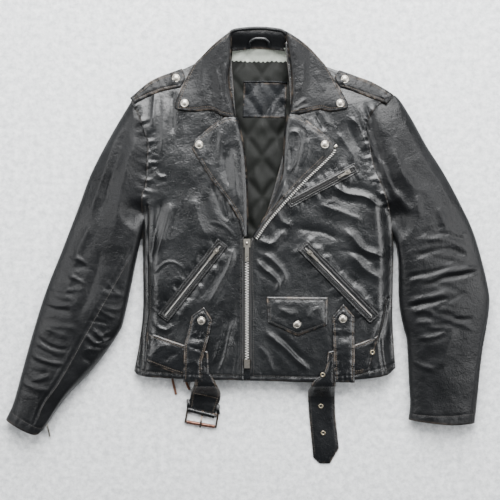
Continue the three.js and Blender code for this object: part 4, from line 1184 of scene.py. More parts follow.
@dataclass
class Body:
    """The back, the fronts and their lining."""

    leather: float = FRONT_LEATHER
    lining: float = 1.0

    def build(self) -> None:
        """Builds and dresses the shell and what lines it."""
        back = Leaf("back", HEM_BACK, RIGHT_SIDE, (*SHOULDER_LEFT, *NECK[1:-1], *SHOULDER_RIGHT[::-1]),
                    LEFT_SIDE, under=lambda x, y: back_height(x, y) - self.leather, thickness=self.leather,
                    step=5.0)
        dress(back.build(), SHELL, ROOT, "shell_leather", "back_panel")
        left = Leaf("front_left_shell", ((-241, 19), (-227, 11), (-148, 6), (-60, 4), (LEFT_ZIP_EDGE, 3)),
                    ((LEFT_ZIP_EDGE, 3), (LEFT_ZIP_EDGE, 140), (LEFT_ZIP_EDGE, 262), (-33, 300),
                     (-49.5, 494), (-60, 634)),
                    SHOULDER_LEFT, LEFT_SIDE, under=under_fronts, thickness=self.leather, step=2.4,
                    open_wear=0.2)
        dress(left.build(), SHELL, ROOT, "shell_leather", "front_left", "side_panel_left",
              "shoulder_yoke_left")
        right = Leaf("front_right_shell", ((RIGHT_ZIP_EDGE, 3), (97, 0), (177, 5), (232, 12.5), (251, 25)),
                     RIGHT_SIDE, SHOULDER_RIGHT[::-1],
                     ((RIGHT_ZIP_EDGE, 3), (RIGHT_ZIP_EDGE, 140), (RIGHT_ZIP_EDGE, 258), (12, 326),
                      (51.5, 494), (44, 634)),
                     under=under_fronts, thickness=self.leather, step=2.4, open_wear=0.2)
        dress(right.build(), SHELL, ROOT, "shell_leather", "front_right", "side_panel_right",
              "shoulder_yoke_right")
        hem = [front.along_edge(Side.BOTTOM, 9.0) for front in (left, right)]
        hem += [front.along_edge(side, 5.5) for front, side in ((left, Side.RIGHT), (right, Side.LEFT))]
        for seam in SEAMS_ON_FRONT:
            for shift in (-4.0, 4.0):
                hem.append(on_surface([(x + shift, y) for x, y in seam], front_height))
        stitches("body_stitches", hem, ROOT)
        self.line(left, right)

    def line(self, left: Leaf, right: Leaf) -> None:
        """Builds and dresses the lining and the pocket bags.

        Args:
            left, right: The fronts.
        """
        cloth = Leaf("lining_of_back", tuple((x * 0.97, y + 6) for x, y in HEM_BACK),
                     tuple((x - 7, y) for x, y in RIGHT_SIDE[:-1]) + ((226, 528),),
                     ((-234, 522), (-206, 553), (-136, 583), (-58, 624), (-44, 634), (-8, 636), (30, 634),
                      (42, 624), (119, 583), (206, 553), (226, 528)),
                     tuple((x + 7, y) for x, y in LEFT_SIDE[:-1]) + ((-234, 522),),
                     under=lining_height, thickness=self.lining, step=3.4, rim=1.0)
        obj = dress(cloth.build(), QUILT, ROOT, "quilted_lining", "lining_back")
        for side, front, shift in (("left", left, 1), ("right", right, -1)):
            inner = [(x + 6 * shift, y) for x, y in getattr(front, side)]
            edge = [(x - 6 * shift, y) for x, y in getattr(front, "right" if shift > 0 else "left")]
            low = [(x, y + 7) for x, y in front.bottom]
            high = [(x, y - 7) for x, y in front.top]
            outer, closer = (inner, edge) if shift > 0 else (edge, inner)
            for row, at in ((low, 0), (high, -1)):
                row[0] = (outer[at][0], row[0][1])
                row[-1] = (closer[at][0], row[-1][1])
                outer[at], closer[at] = row[0], row[-1]
            facing = Leaf(f"lining_of_front_{side}", low, closer, high, outer,
                          under=lambda x, y: np.maximum(under_fronts(x, y) - 5.0, back_height(x, y) + 0.6),
                          thickness=self.lining, step=4.0, rim=1.0)
            obj = dress(facing.build(), QUILT, ROOT, "quilted_lining", f"lining_front_{side}")
        for side, slit, out in (("left", HAND_LEFT, -1), ("right", HAND_RIGHT, 1)):
            x0, x1 = sorted((slit.start[0] - 20 * out, slit.end[0] - 6 * out))
            bag = Leaf(f"pocket_bag_{side}_cloth", ((x0, 105), (x1, 105)), ((x1, 105), (x1, 250)),
                       ((x0, 250), (x1, 250)), ((x0, 105), (x0, 250)),
                       under=lambda x, y: under_fronts(x, y) - 2.6, thickness=0.9, step=5.0, rim=1.0,
                       straight=True)
            obj = dress(bag.build(), POCKETING, ROOT, "pocket_cloth", f"pocket_bag_{side}")


@dataclass
class Sleeve:
    """A sleeve that lies flat: a double-walled tube between two edge lines.

    Across, its upper wall is a superellipse: its middle height times the root of one less the
    share to the power 2.4. Its lower wall is flatter and lies on the ground.
    """

    name: str
    armhole: tuple[Point, ...]
    outer: tuple[Point, ...]
    inner: tuple[Point, ...]
    cuff: tuple[Point, ...]
    seam: tuple[Point, ...]
    folds: list[Fold]
    hold: Hold
    height: float = 39.0
    cuff_height: float = 34.0
    edge_height: float = 13.0
    wall: float = 2.2
    rows: int = 226
    top_points: int = 62  # across the upper wall
    low_points: int = 34  # across the lower wall
    run: float = 520.0  # mm from the armhole to the cuff
    hem_seam: float = 15.0  # mm from the cuff's edge to its seam

    def upper(self, x: Array, y: Array, s: Array, v: Array) -> Array:
        """The upper wall's height at places whose shares are s across and v down the sleeve."""
        high = self.height + (self.cuff_height - self.height) * ramp((v - 0.55) / 0.45)
        wide = np.sqrt(np.clip(1 - np.abs(s) ** 2.4, 0, 1))
        z = self.edge_height + (high - self.edge_height - 2.5) * wide
        far, _, _ = nearest(x, y, curve(self.armhole, 30))
        join = ramp((far - 9) / 46.0)
        z = np.minimum(z, z * join + (1 - join) * (front_height(x, y) - 3.2))
        relief = 1.6 * SOFT.layers(x / 70.0, y / 70.0, 2) + crumple(x, y, 40.0, 1.3) + 0.35 * CREASE(x / 12,
            y / 12)
        for fold in self.folds:
            relief = relief + fold.at(x, y)
        line = curve(self.seam, 24)
        gap, share, _ = nearest(x, y, line)
        end = ramp(share / 0.1)
        relief = relief + end * (-1.9 * bell(gap, 1.8) + 0.9 * bell(gap - 4.5, 2.6))
        relief = relief * ramp((far - 4) / 14.0)
        hem = (1 - v) * self.run
        relief = relief + 0.8 * PUCKER(s * 9, 0 * s + 4) * bell(hem - 12, 8)
        relief = relief - 1.1 * bell(hem - self.hem_seam, 1.6)
        return z + relief * np.clip(wide * 1.15, 0, 1)

    def shell(self, inset: float) -> tuple[Array, Array, Array]:
        """The points of one wall of the tube.

        Args:
            inset: How far it lies inside the outer face.

        Returns:
            Points in plan millimetres with heights, and the shares across and down.
        """
        s_top = np.sin(np.linspace(np.pi / 2, -np.pi / 2, self.top_points))
        s_low = np.sin(np.linspace(-np.pi / 2, np.pi / 2, self.low_points))[1:-1]
        s = np.concatenate([s_top, s_low])
        low = np.arange(len(s)) >= len(s_top)
        v = np.linspace(0, 1, self.rows)
        width = 130.0
        u = 0.5 + 0.5 * s * (1 - 2 * inset / width)
        back = np.argsort(np.argsort(u))  # the way back from sorted shares
        sides = [curve(p, len(v), v) for p in (self.outer, self.inner)]
        # The rows run down the sleeve, so the armhole is the patch's bottom and the cuff its top.
        us = np.sort(u)
        b, t = (curve(p, 200) for p in (self.armhole, self.cuff))
        ends = [np.stack([np.interp(us, np.linspace(0, 1, 200), e[:, k]) for k in (0, 1)],
                         axis=1) for e in (b, t)]
        a, c = us[None, :, None], v[:, None, None]
        corners = (1 - a) * (1 - c) * b[0] + a * (1 - c) * b[-1] + (1 - a) * c * t[0] + a * c * t[-1]
        plan = (1 - c) * ends[0] + c * ends[1] + (1 - a) * sides[1][:, None] + a * sides[0][:,
            None] - corners
        plan = plan[:, back]
        x, y = plan[..., 0], plan[..., 1]
        ss, vv = np.broadcast_arrays(s[None], v[:, None])
        top = self.upper(x, y, ss, vv) - inset
        flat = np.clip(1 - np.abs(ss) ** 5, 0, 1) ** 0.45
        rise = 2.6 * (1 - ramp(vv * 14))
        bottom = self.edge_height * (1 - flat) + (0.2 + rise + inset) * flat
        z = np.where(low[None], bottom, top)
        edge = np.abs(ss) > 0.9999
        z = np.where(edge, self.edge_height, z)
        z = np.where(low[None], z, np.maximum(z, np.where(edge, z, self.edge_height * 0.5)))
        return np.stack([x, y, z], axis=-1), ss, vv

    def build(self) -> None:
        """Builds and dresses the sleeve, its stitches and its cuff."""
        outer, _, v = self.shell(0.0)
        inner, _, _ = self.shell(self.wall)
        lip = (outer[-1] + inner[-1]) / 2
        away = outer[-1] - outer[-3]
        lip = lip + away / np.maximum(np.linalg.norm(away, axis=1, keepdims=True), 1e-9) * 0.9
        grid = np.concatenate([outer, lip[None], inner[::-1]])
        rows, columns = grid.shape[:2]
        points = to_frame(grid[..., 0], grid[..., 1], grid[..., 2]).reshape(-1, 3)
        rubbed = 0.5 + 0.5 * SOFT(outer[..., 0] / 20, outer[..., 1] / 20)
        wear = 0.5 * rubbed * bell((1 - v) * self.run, 1.8)
        wear = np.concatenate([wear, wear[-1:], wear[::-1]]).ravel()
        obj = make_object(f"{self.name}_shell", points, [grid_faces(rows, columns, wrap=True, ring=True)],
                          wear)
        dress(obj, MATT, self.hold, "shell_leather", f"{self.name}_under", f"{self.name}_top")
        row = int(self.rows * (1 - self.hem_seam / self.run))
        lines = [outer[row, 6:56]]
        line = curve(self.seam, 90)
        beside = line + leftward(tangents(line)) * 4.5
        top = outer[:, :self.top_points].reshape(-1, 3)
        near = np.argmin((top[None, :, 0] - beside[:, :1]) ** 2 + (top[None, :, 1] - beside[:, 1:]) ** 2,
                         axis=1)
        lines.append(np.column_stack([beside, top[near, 2]])[8:-2])
        stitches(f"{self.name}_stitches", lines, self.hold)


def rolled(roll: Sequence[Point], high: float, low: float, base: float = 0.3,
           reach: float = 30.0) -> Surface:
    """What a turned leaf rests on: it springs up at its roll and sinks to the front beyond.

    The rise over the front is low plus (high - low) times a bell of the distance from the roll.
    Its last millimetres before the roll curl down as a quarter circle.
    """
    line = curve(roll, 40)

    def under(x: Array, y: Array) -> Array:
        """The height under the leaf."""
        far, _, _ = nearest(x, y, line)
        curl = 6.5 * (1 - np.sqrt(np.clip(1 - np.clip(1 - far / 8.0, 0, 1) ** 2, 0, 1)))
        floor = np.maximum(front_height(x, y), FRONT_TOP - 6.0)
        return floor + base + low + (high - low) * bell(far, reach) - curl

    return under


@dataclass
class Collar:
    """The collar's two wings, its stand, and the hanger in it."""

    leather: float = 2.8

    def build(self) -> None:
        """Builds and dresses the collar."""
        roll_left = ((-50, 494), (-56, 532), (-62, 566), (-59, 608), (-57, 656))
        roll_right = ((50, 499), (55, 529), (55, 568), (51, 606), (43, 656))
        left = Leaf("collar_left_wing", ((-159, 509), (-128, 507), (-95, 509), (-72, 498), (-50, 494)),
                    roll_left, ((-123.5, 598.5), (-92, 629), (-57, 656)),
                    ((-159, 509), (-162, 521), (-139, 574), (-123.5, 598.5)),
                    under=rolled(roll_left, 5.2, 1.2), thickness=self.leather, puff=0.6, gather=0.35,
                    step=2.2,
                    folds=(Fold(((-74, 520), (-80, 555), (-86, 590)), 1.6, 5),
                           Fold(((-66, 600), (-70, 560), (-66, 520)), 1.7, 3.5),
                           Fold(((-118, 530), (-112, 560), (-110, 590)), 1.2, 9),
                           Fold(((-92, 512), (-96, 540), (-94, 575)), -1.2, 6)))
        right = Leaf("collar_right_wing", ((50, 499), (74.5, 503.7), (105.6, 511), (127, 507), (157, 511)),
                     ((157, 511), (159, 521), (138.5, 560), (117, 594)), ((43, 656), (84, 629), (117, 594)),
                     roll_right, under=rolled(roll_right, 5.2, 1.2), thickness=self.leather, puff=0.6,
                     gather=0.35, step=2.2,
                     folds=(Fold(((60, 503), (72, 512), (86, 515)), 2.6, 3.5),
                            Fold(((62, 512), (72, 522), (84, 530)), 2.2, 4),
                            Fold(((70, 540), (78, 570), (76, 600)), 1.6, 6),
                            Fold(((118, 540), (108, 560), (104, 585)), 1.2, 8)))
        for side, leaf, roll, x in (("left", left, roll_left, -145.0), ("right", right, roll_right, 146.0)):
            out = -1 if side == "left" else 1
            middle = np.mean(np.array((roll[0], roll[-1])), axis=0)
            hold = Hold("root", f"collar_wing_{side}", tuple(middle), (middle[0] + 26 * out, middle[1] + 3))
            dress(leaf.build(), MATT, hold, "shell_leather", f"collar_{side}")
            free = Side.LEFT if out < 0 else Side.RIGHT
            edges = [leaf.along_edge(e, 6.0) for e in (Side.BOTTOM, Side.TOP, free)]
            stitches(f"collar_{side}_stitches", edges, hold, THREAD)
            snap(f"collar_snap_{side}", leaf, x, 521.0)
        self.neck()

    def neck(self) -> None:
        """Builds and dresses what shows inside the neck: stand, roll, facing patch, strip and hanger."""

        def tilt(x: Array, y: Array) -> Array:
            """The band's height: it leans up towards the roll."""
            return 18.0 + 15.5 * ramp((y - 624) / 30.0) + 0.7 * PUCKER(x / 9.0, y / 30.0)

        stand = Leaf("neck_band", ((-56, 622), (-8, 626), (42, 622)), ((42, 622), (45, 640), (42, 656)),
                     ((-57, 656), (-8, 660), (42, 656)), ((-56, 622), (-59, 640), (-57, 656)), under=tilt,
                     thickness=2.2, gather=0.3, step=2.4)
        dress(stand.build(), MATT, ROOT, "shell_leather", "collar_stand")
        back = np.array([(-62, 650, 33), (-50, 657.5, 34.6), (-8, 661, 35), (32, 657.5, 34.6),
                         (46, 650, 33)], float)
        dress(tube("neck_roll", curve(back, 60), 3.6, 3.6, 14), MATT, ROOT, "shell_leather")
        arch = np.array([(-24, 626, 22.5), (-22, 637, 30), (-14, 641.5, 32.5), (-4, 642.5, 33),
                         (6, 641, 32.5), (12, 636, 29.5), (13, 626, 22.5)], float)
        dress(tube("hanger", curve(arch, 40), 2.6, 1.1, 10), STRAP, ROOT, "strap_leather", "hanger_loop")
        ragged = [
            (x, 603 + 1.6 * (-1) ** k + 1.2 * float(SOFT(np.array(x / 9.0), np.array(0.0))))
            for k, x in enumerate(np.linspace(-57, 48, 26))
        ]
        strip = Leaf("worn_strip", ragged, ((48, ragged[-1][1]), (47, 626)), ((-56, 626), (47, 626)),
                     ((-57, ragged[0][1]), (-56, 626)),
                     under=lambda x, y: lining_height(x, y) + 1.2 + 7 * ramp((y - 612) / 14),
                     thickness=0.8, step=2.4, rim=0.8, straight=True)
        dress(strip.build(), FRAYED, ROOT, "quilted_lining")
        facing = Leaf("facing_patch", ((-36, 498), (44, 497)), ((44, 497), (46, 562)),
                      ((-34, 563), (46, 562)), ((-36, 498), (-34, 563)),
                      under=lambda x, y: lining_height(x, y) + 1.0, thickness=1.4, step=2.4, gather=0.5,
                      straight=True)
        dress(facing.build(), PIPED, ROOT, "inner_leather")
        piping = on_surface(((-35, 564), (5, 565), (47, 563)), lining_height, lift=3.0)
        dress(tube("facing_piping", piping, 1.5, 1.5), PIPED, ROOT, "inner_leather")


@dataclass
class Lapels:
    """The two turned lapels, and the row of teeth along the right one."""

    leather: float = 2.6

    def build(self) -> None:
        """Builds and dresses the lapels."""
        roll_left = ((-27, 272), (-27, 323), (-28.5, 380), (-34, 441), (-46, 494))
        left = Leaf("lapel_left_leaf", ((-33, 272), (-27, 272)), roll_left,
                    ((-130, 440), (-121, 457), (-72, 493), (-46, 494)),
                    ((-33, 272), (-49, 316), (-95, 380), (-128, 433), (-130, 440)),
                    under=rolled(roll_left, 4.6, 0.7), thickness=self.leather, puff=1.0, gather=0.4,
                    step=2.2,
                    folds=(Fold(((-46, 330), (-50, 380), (-56, 440)), 2.6, 10),
                           Fold(((-78, 400), (-80, 440), (-76, 476)), 1.8, 9),
                           Fold(((-104, 420), (-98, 450), (-92, 470)), 1.4, 7),
                           Fold(((-60, 360), (-68, 400), (-70, 430)), -1.6, 7)))
        roll_right = ((-18, 271), (15, 329), (36, 382), (40, 432), (42, 467), (47, 500))
        teeth_edge = ((-14, 271), (9, 304), (42, 342), (79, 381.5), (106, 407), (129, 430), (137, 443))
        right = Leaf("lapel_right_leaf", ((-18, 271), (-14, 271)), teeth_edge,
                     ((47, 500), (70, 497), (130, 452), (137, 443)), roll_right,
                     under=rolled(roll_right, 4.6, 0.7), thickness=self.leather, puff=1.0, gather=0.3,
                     step=2.2,
                     folds=(Fold(((46, 462), (62, 468), (72, 455), (66, 420), (50, 384)), 3.0, 5.5),
                            Fold(((52, 440), (54, 415), (48, 396)), -1.8, 5),
                            Fold(((88, 460), (84, 430), (70, 400)), 1.5, 8),
                            Fold(((18, 318), (36, 352), (46, 380)), 2.2, 5)))
        for side, leaf, roll, x in (("left", left, roll_left, -118.0), ("right", right, roll_right, 117.0)):
            axis = np.array(roll[-1], float) - np.array(roll[1], float)
            axis /= np.linalg.norm(axis)
            away = np.array([-axis[1], axis[0]]) * (1 if side == "left" else -1)
            middle = np.mean(np.array((roll[1], roll[-1])), axis=0)
            hold = Hold("root", f"lapel_flap_{side}", tuple(middle), tuple(middle + away * 26))
            dress(leaf.build(), SHELL, hold, "shell_leather", f"lapel_{side}")
            edges = [leaf.along_edge(Side.TOP, 6.0),
                     leaf.along_edge(Side.LEFT if side == "left" else Side.RIGHT, 6.0, 30)]
            stitches(f"lapel_{side}_stitches", edges, hold, THREAD)
            snap(f"lapel_snap_{side}", leaf, x, 444.0)
            if side == "right":
                under = rolled(roll_right, 4.6, 0.7)
                Zip("lapel_zip", tuple((x + 1.5, y - 2.0) for x, y in teeth_edge[:-1]) + ((134, 437),),
                    under, hold, ("lapel_zip",), tape=3.0, single=True, reach=4.8, pitch=4.2,
                    tape_lift=1.2).build()
                stop, faces = block(8, 6, 3.0, 0.8)
                at = np.array([[137.5, 441.0, float(under(np.array([137.0]), np.array([441.0]))[0]) + 0.4]])
                points, quads = scatter(stop, faces, at, np.array([[0.75, 0.65, 0.0]]))
                dress(make_object("lapel_zip_stop", points, [quads]), NICKEL, Hold("lapel_flap_right"),
                      "nickel")


@dataclass
class Shoulders:
    """The two shoulder straps."""

    def build(self) -> None:
        """Builds and dresses the straps."""
        shapes = {
            "left": (((-240, 523), (-194.5, 544), (-154, 553)), ((-154, 553), (-146, 569), (-151, 587)),
                     ((-247, 532), (-206.5, 565), (-151, 587)), ((-240, 523), (-247, 532)),
                     (-161.5, 569.0)),
            "right": (((147, 553), (170, 546), (233, 522)), ((233, 522), (246, 538)),
                      ((145, 584), (202, 563), (226, 551), (246, 538)),
                      ((147, 553), (137.5, 570), (145, 584)), (155, 567.0)),
        }
        for side, (bottom, right, top, left, at) in shapes.items():
            leaf = Leaf(f"epaulette_{side}_strap", bottom, right, top, left,
                        under=lambda x, y: front_height(x, y) + 0.6, thickness=3.0, puff=1.0, gather=0.7,
                        step=2.2, wear_reach=2.0,
                        folds=(Fold(((at[0] - 12, 556), (at[0] - 4, 566), (at[0] - 8, 578)), 1.5, 4),))
            dress(leaf.build(), MATT, Hold(f"epaulette_strap_{side}"), "shell_leather", f"epaulette_{side}")
            stitches(f"epaulette_{side}_stitches",
                     [leaf.along_edge(Side.BOTTOM, 4.5), leaf.along_edge(Side.TOP, 4.5)],
                     Hold(f"epaulette_strap_{side}"), THREAD)
            snap(f"epaulette_snap_{side}", leaf, *at)


@dataclass
class Pockets:
    """The zipped slits with their welts, and the coin pocket's flap."""

    def build(self) -> None:
        """Builds and dresses the pockets."""
        for slit in SLITS:
            chest = slit is CHEST
            outer = rounded(slit, slit.length / 2 + 7, slit.width / 2, 3.0, 40)
            inner = rounded(slit, slit.length / 2 - 1, 2.9, 2.0, 40)
            welt = loop_sweep(f"{slit.name}_welt_frame", inner, outer, WELT_SECTION * [1, 0.85],
                              front_height)
            dress(welt, STRAP, ROOT, "shell_leather", *(() if chest else (f"{slit.name}_welt",)))
            for k, (dl, dw) in enumerate(((4.0, 2.6), (1.2, 6.2))):
                loop = rounded(slit, slit.length / 2 + dl, slit.width / 2 - dw, 2.0, 40)
                path = np.vstack([loop, loop[:1]])
                line = np.column_stack([path,
                                        front_height(path[:, 0], path[:, 1]) + (1.7 if k == 0 else 1.8)])
                stitches(f"{slit.name}_stitches_{k}", [line], ROOT, DARK_THREAD)
            a, b = (slit.place(np.array([s]), np.array([0.0])) for s in (2.0, slit.length - 2))
            ends = ((float(a[0][0]), float(a[1][0])), (float(b[0][0]), float(b[1][0])))
            Zip(f"{slit.name}_zip", ends, front_height, ROOT, (f"{slit.name}_zip",), tape=4.4, reach=1.5,
                pitch=2.8, metal=BLACKED if chest else TEETH).build()
        flap = Leaf("coin_flap_leaf", ((12, 111), (66, 87), (121, 107)), ((121, 107), (122, 158)),
                    ((9, 159), (122, 158)), ((12, 111), (9, 159)),
                    under=lambda x, y: np.maximum(front_height(x, y), FRONT_TOP - 2) + 0.5, thickness=2.4,
                    puff=1.6, gather=0.5, step=2.0, straight=True, wear_reach=2.2,
                    folds=(Fold(((28, 140), (52, 128), (70, 132)), 1.6, 7),
                           Fold(((84, 118), (96, 134), (110, 140)), 1.5, 7),
                           Fold(((40, 112), (58, 104), (76, 118)), -1.2, 5)))
        hold = Hold("coin_pocket_flap")
        dress(flap.build(), SHELL, hold, "shell_leather", "coin_flap")
        stitches("coin_flap_stitches", [flap.along_edge(e, 4.5) for e in Side], hold)
        snap("coin_flap_snap", flap, 65.0, 108.0)


def end_height(x: Array, y: Array) -> Array:
    """What a hanging belt end rests on: the belt over the hem, then a slope down to the ground."""
    slope = np.interp(y, [-60, -42, -31, -20, -8, -HEM_GAP], [0.2, 0.2, 2.7, 13.8, 29.6, 31.8])
    on = np.maximum(front_height(x, y) + 0.4, FRONT_TOP + 0.4)
    return np.where(y < -HEM_GAP, slope, slope + (on - slope) * ramp((y + HEM_GAP) / 10))


@dataclass
class Belt:
    """The sewn-on belt: its two halves, the loops over them, and its two free ends."""

    strap: float = 3.0

    def build(self) -> None:
        """Builds and dresses the belt."""

        def on_front(x: Array, y: Array) -> Array:
            """What the belt lies on."""
            return front_height(x, y) + 0.3

        left = Leaf("belt_left_strap", ((-220, 39), (-148, 13), (-100, 5)), ((-100, 5), (-102, 57)),
                    ((-215, 93), (-146, 69), (-102, 57)), ((-220, 39), (-215, 93)), under=on_front,
                    thickness=self.strap, gather=0.5, step=2.2, puff=0.4,
                    folds=(Fold(((-206, 50), (-190, 66), (-170, 70)), 1.4, 8),
                           Fold(((-186, 36), (-170, 50), (-156, 52)), -1.2, 7)))
        right = Leaf("belt_right_strap", ((118, 8), (177, 17), (198, 21)), ((198, 21), (216, 86)),
                     ((124, 56), (178, 71), (216, 86)), ((118, 8), (124, 56)), under=on_front,
                     thickness=self.strap, gather=0.5, step=2.2, puff=0.4)
        for side, leaf in (("left", left), ("right", right)):
            dress(leaf.build(), STRAP, ROOT, "strap_leather", f"belt_{side}")
            stitches(f"belt_{side}_stitches", [leaf.along_edge(e, 4.5) for e in (Side.TOP, Side.BOTTOM)],
                     ROOT, THREAD)
        self.eyelet("belt_eyelet_right", 206.0, 55.5, height_on(right, 206.0, 55.5), "root")
        self.loops()
        self.ends()

    def eyelet(self, name: str, x: float, y: float, z: float, body: str) -> None:
        """Builds a brass eyelet: a ring with a rolled rim round a dark hole."""
        profile = np.array([(0.4, 0.2), (1.7, 0.25), (2.0, 0.8), (2.7, 1.25), (3.8, 1.25), (4.8, 0.8),
                            (5.0, 0.1), (4.5, -0.3)])
        ring = dress(lathe(profile, 24, (x, y, z), name), BRASS, Hold(body), "bronze_buckle")
        ring.data.materials.append(STRAP.material())
        middle = np.zeros(len(ring.data.polygons), np.int32)
        middle[:24] = 1
        middle[-2] = 1
        ring.data.polygons.foreach_set("material_index", middle)

    def loops(self) -> None:
        """Builds and dresses the belt loops with their snaps and rivets."""

        def over(x: Array, y: Array) -> Array:
            """The height under a loop, which humps over the belt."""
            hump = 3.3 * ramp((88 - y) / 18.0) * ramp((y + 12) / 14.0)
            return np.maximum(front_height(x, y), FRONT_TOP - 1.5) + 0.6 + hump

        left = Leaf("belt_loop_left_strap", ((-147, 1), (-112, 2)),
                    ((-112, 2), (-113, 40), (-100, 85), (-94, 116)), ((-131, 124), (-109, 140), (-94, 116)),
                    ((-147, 1), (-145, 69), (-131, 124)), under=over, thickness=2.6, puff=0.8, gather=0.4,
                    step=2.0, straight=True, wear_reach=2.2,
                    folds=(Fold(((-142, 84), (-124, 92), (-104, 86)), 0.9, 5),
                           Fold(((-128, 96), (-118, 84), (-106, 92)), 0.8, 3),
                           Fold(((-142, 34), (-128, 38), (-116, 28)), 0.6, 6),
                           Fold(((-138, 70), (-126, 64), (-112, 60)), -1.3, 3.5)))
        right = Leaf("belt_loop_right_strap", ((136, 1), (172, 0)), ((172, 0), (172, 122)),
                     ((132, 122), (152, 145), (172, 122)), ((136, 1), (132, 122)), under=over,
                     thickness=2.6, puff=1.0, gather=0.7, step=2.0, straight=True,
                     wear_reach=2.2, folds=(Fold(((136, 92), (152, 96), (168, 90)), 0.8, 6),
                                            Fold(((138, 50), (152, 54), (168, 48)), 0.5, 8)))
        for side, leaf, x, y in (("left", left, -113.6, 115.0), ("right", right, 151.0, 118.0)):
            hold = Hold(f"loop_{side}")
            dress(leaf.build(), STRAP, hold, "strap_leather", f"belt_loop_{side}")
            stitches(f"belt_loop_{side}_stitches",
                     [leaf.along_edge(e, 4.0) for e in (Side.LEFT, Side.RIGHT)], hold, THREAD)
            snap(f"belt_loop_snap_{side}", leaf, x, y)
            rivet(f"belt_loop_rivet_{side}", leaf, x + 1, y + 14, f"loop_{side}")

    def ends(self) -> None:
        """Builds and dresses the buckle end and the tongue end."""
        buckle = Leaf("belt_buckle_end_strap", ((-138.5, -54), (-91, -66)),
                      ((-91, -66), (-80, -34), (-81, -16), (-95, 12)), ((-116, 43), (-95, 12)),
                      ((-138.5, -54), (-133, -20), (-126, -3), (-116, 43)), under=end_height,
                      thickness=self.strap, gather=0.35, step=2.2, puff=0.4, wear_reach=2.4)
        hold = Hold("root", "buckle_end", (-104, 3), (-104, -9))
        dress(buckle.build(), STRAP, hold, "strap_leather", "belt_buckle_end")
        seam = [buckle.along_edge(e, 4.5) for e in (Side.LEFT, Side.RIGHT)]
        seam.append(on_surface(((-131, -22), (-83, -34)), end_height, lift=3.6))
        stitches("belt_buckle_end_stitches", seam, hold, THREAD)
        fold = np.array([(-141, -54.5, 4.6), (-116, -61, 5.0), (-90, -67.5, 4.6)], float)
        dress(tube("belt_buckle_fold", curve(fold, 40), 4.4, 3.9, 16), STRAP, Hold("buckle_end"),
              "strap_leather")
        for k, (x, y) in enumerate(((-139.5, -45), (-83.5, -55))):
            tab = np.array([(x, y + 9, 2.2), (x, y, 5.2), (x + 1, y - 9, 2.6)], float)
            dress(tube(f"belt_keeper_tab_{k}", curve(tab, 14), 3.4, 1.5, 10), STRAP, Hold("buckle_end"),
                  "strap_leather")
        tongue = Leaf("belt_tongue_strap", ((98, -146), (110, -157), (128, -157), (145, -128)),
                      ((145, -128), (138, -66), (136, 0), (135, 57)), ((126, 40), (135, 57)),
                      ((98, -146), (90, -66), (87, -19), (97, 2), (116, 17), (126, 40)), under=end_height,
                      thickness=self.strap, gather=0.25, step=2.2, puff=0.3, wear_reach=1.8, straight=True,
                      folds=(Fold(((92, -8), (112, -18), (136, -14)), 1.0, 6),))
        hold = Hold("root", "tongue_end", (115, 3), (115, -9))
        dress(tongue.build(), STRAP, hold, "strap_leather", "belt_tongue_end")
        stitches("belt_tongue_stitches", [tongue.along_edge(e, 4.5, 8) for e in (Side.LEFT, Side.RIGHT)],
                 hold)
        for k, (x, y, body) in enumerate(((113.0, 13.5, "root"), (111.5, -49.0, "tongue_end"),
            (116.0, -100.0, "tongue_end"))):
            self.eyelet(f"belt_eyelet_{k}", x, y, height_on(tongue, x, y), body)
        for k, line in enumerate((((-170.5, 16, 7), (-169.5, 2, 5), (-166, -14, 2.4), (-163, -27, 1.5)),
                                  ((-147, 16, 7), (-145, 2, 5), (-141, -10, 2.6), (-137.5, -18, 1.5)))):
            dress(tube(f"hem_thong_{k}", curve(np.array(line, float), 24), 2.3, 1.2, 8), RAWHIDE, ROOT,
                  "strap_leather")


